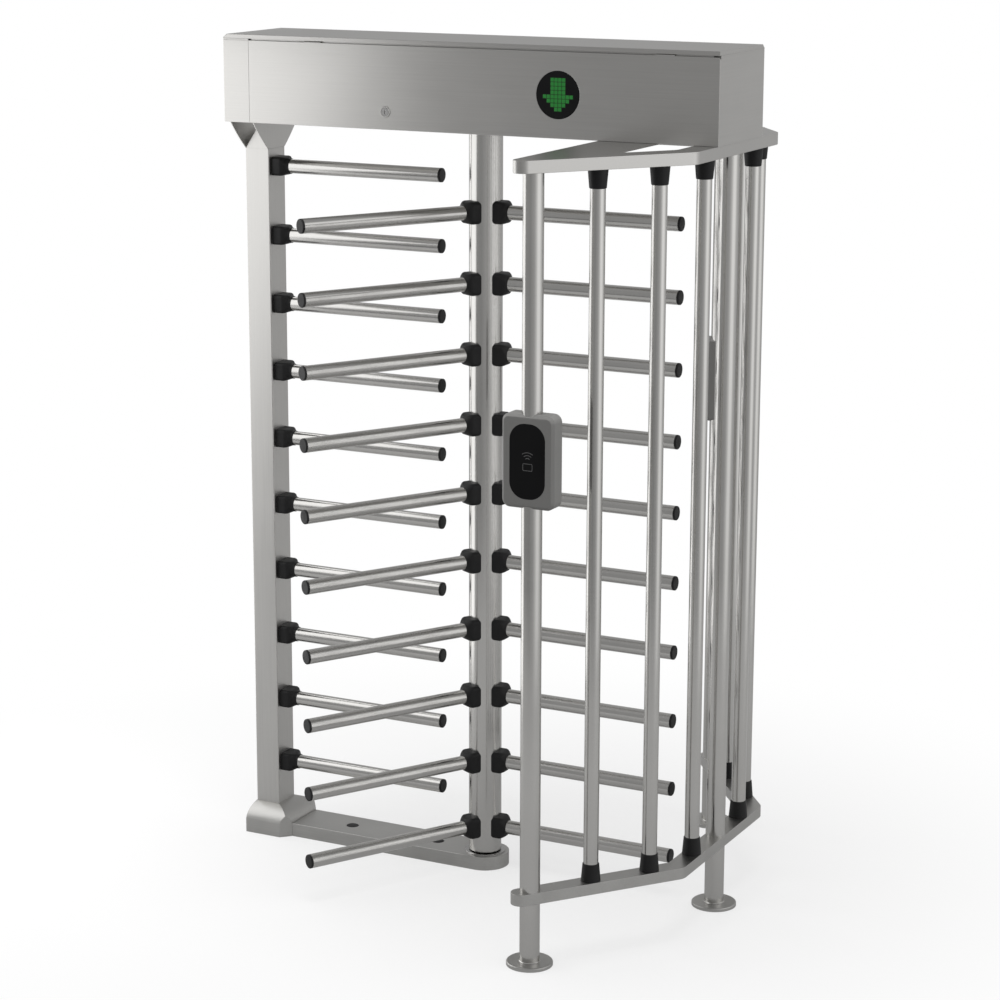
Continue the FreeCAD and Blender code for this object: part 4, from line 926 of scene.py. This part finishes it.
def makeSky():
    s = studio
    world = bpy.data.worlds.new("studio")
    bpy.context.scene.world = world
    world.use_nodes = True
    tree = world.node_tree
    tree.nodes.clear()
    where = newNode(tree, "ShaderNodeTexCoord", {}).outputs["Generated"]
    part = newNode(tree, "ShaderNodeSeparateXYZ", {0: where}).outputs
    heading = maths(tree, "ARCTAN2", maths(tree, "MULTIPLY", part["X"], -1),
                    maths(tree, "MULTIPLY", part["Y"], -1))
    turn = maths(tree, "ADD", maths(tree, "MULTIPLY", heading, 1 / (2 * math.pi)), 0.5)
    band = newNode(tree, "ShaderNodeValToRGB", {0: turn})
    ramp = band.color_ramp
    ramp.interpolation = "EASE"
    for degrees, tone in studioRound[1:-1]:
        ramp.elements.new(degrees / 360 + 0.5)
    for element, (degrees, tone) in zip(ramp.elements, studioRound):
        element.color = (tone, tone, tone, 1)
    low = ranged(tree, part["Z"], s["lowFade"], (s["lowLevel"], 1), "SMOOTHSTEP")
    around = newNode(tree, "ShaderNodeVectorMath", {0: band.outputs["Color"], "Scale": low},
                     operation="SCALE")
    high = ranged(tree, part["Z"], s["overheadFade"], (0, 1), "SMOOTHSTEP")
    dome = newNode(tree, "ShaderNodeMix", {"Factor": high, "A": around.outputs["Vector"],
                                           "B": (*(s["overhead"],) * 3, 1)}, data_type="RGBA")
    ray = newNode(tree, "ShaderNodeLightPath", {}).outputs
    seen = maths(tree, "MAXIMUM", ray["Is Camera Ray"], ray["Is Transmission Ray"])
    # a metal's reflection keeps the darker studio walls, and takes part of the white backdrop
    seen = maths(tree, "MAXIMUM", seen, maths(tree, "MULTIPLY", ray["Is Glossy Ray"],
                                              s["skyInMetal"]))
    final = newNode(tree, "ShaderNodeMix", {"Factor": seen, "A": dome.outputs["Result"],
                                            "B": (1, 1, 1, 1)}, data_type="RGBA")
    background = newNode(tree, "ShaderNodeBackground", {
        "Color": final.outputs["Result"], "Strength": s["skyLevel"]})
    newNode(tree, "ShaderNodeOutputWorld", {"Surface": background.outputs[0]})


def areaLight(name, place, heading, height, size, shown, mirrored):
    # a lamp whose power is pi x width x height x the level its face shows
    light = bpy.data.lights.new(name, "AREA")
    light.shape = "RECTANGLE"
    light.size, light.size_y = size
    light.energy = math.pi * size[0] * size[1] * shown
    lamp = newObject(name, light)
    lamp.location = place
    a, e = math.radians(heading), math.radians(height)
    away = Vector((-math.sin(a) * math.cos(e), -math.cos(a) * math.cos(e), math.sin(e)))
    lamp.rotation_euler = away.to_track_quat("Z", "Y").to_euler()
    lamp.visible_camera = False
    lamp.visible_glossy = mirrored


def makeCamera():
    lens = bpy.data.cameras.new("photoCamera")
    lens.lens = studio["lens"]
    lens.sensor_width = studio["filmWidth"]
    lens.shift_x = studio["shiftX"]
    lens.clip_end = studio["farthest"]
    camera = newObject("photoCamera", lens)
    camera.location = studio["camera"]
    camera.rotation_euler = (math.radians(90 - studio["pitch"]), 0,
                             math.radians(studio["heading"]))
    bpy.context.scene.camera = camera


makeFloor()
makeSky()
for lampName, lampValues in lamps.items():
    areaLight(lampName, *lampValues)
makeCamera()
bpy.context.scene.view_settings.view_transform = "Standard"
print("studio ready")
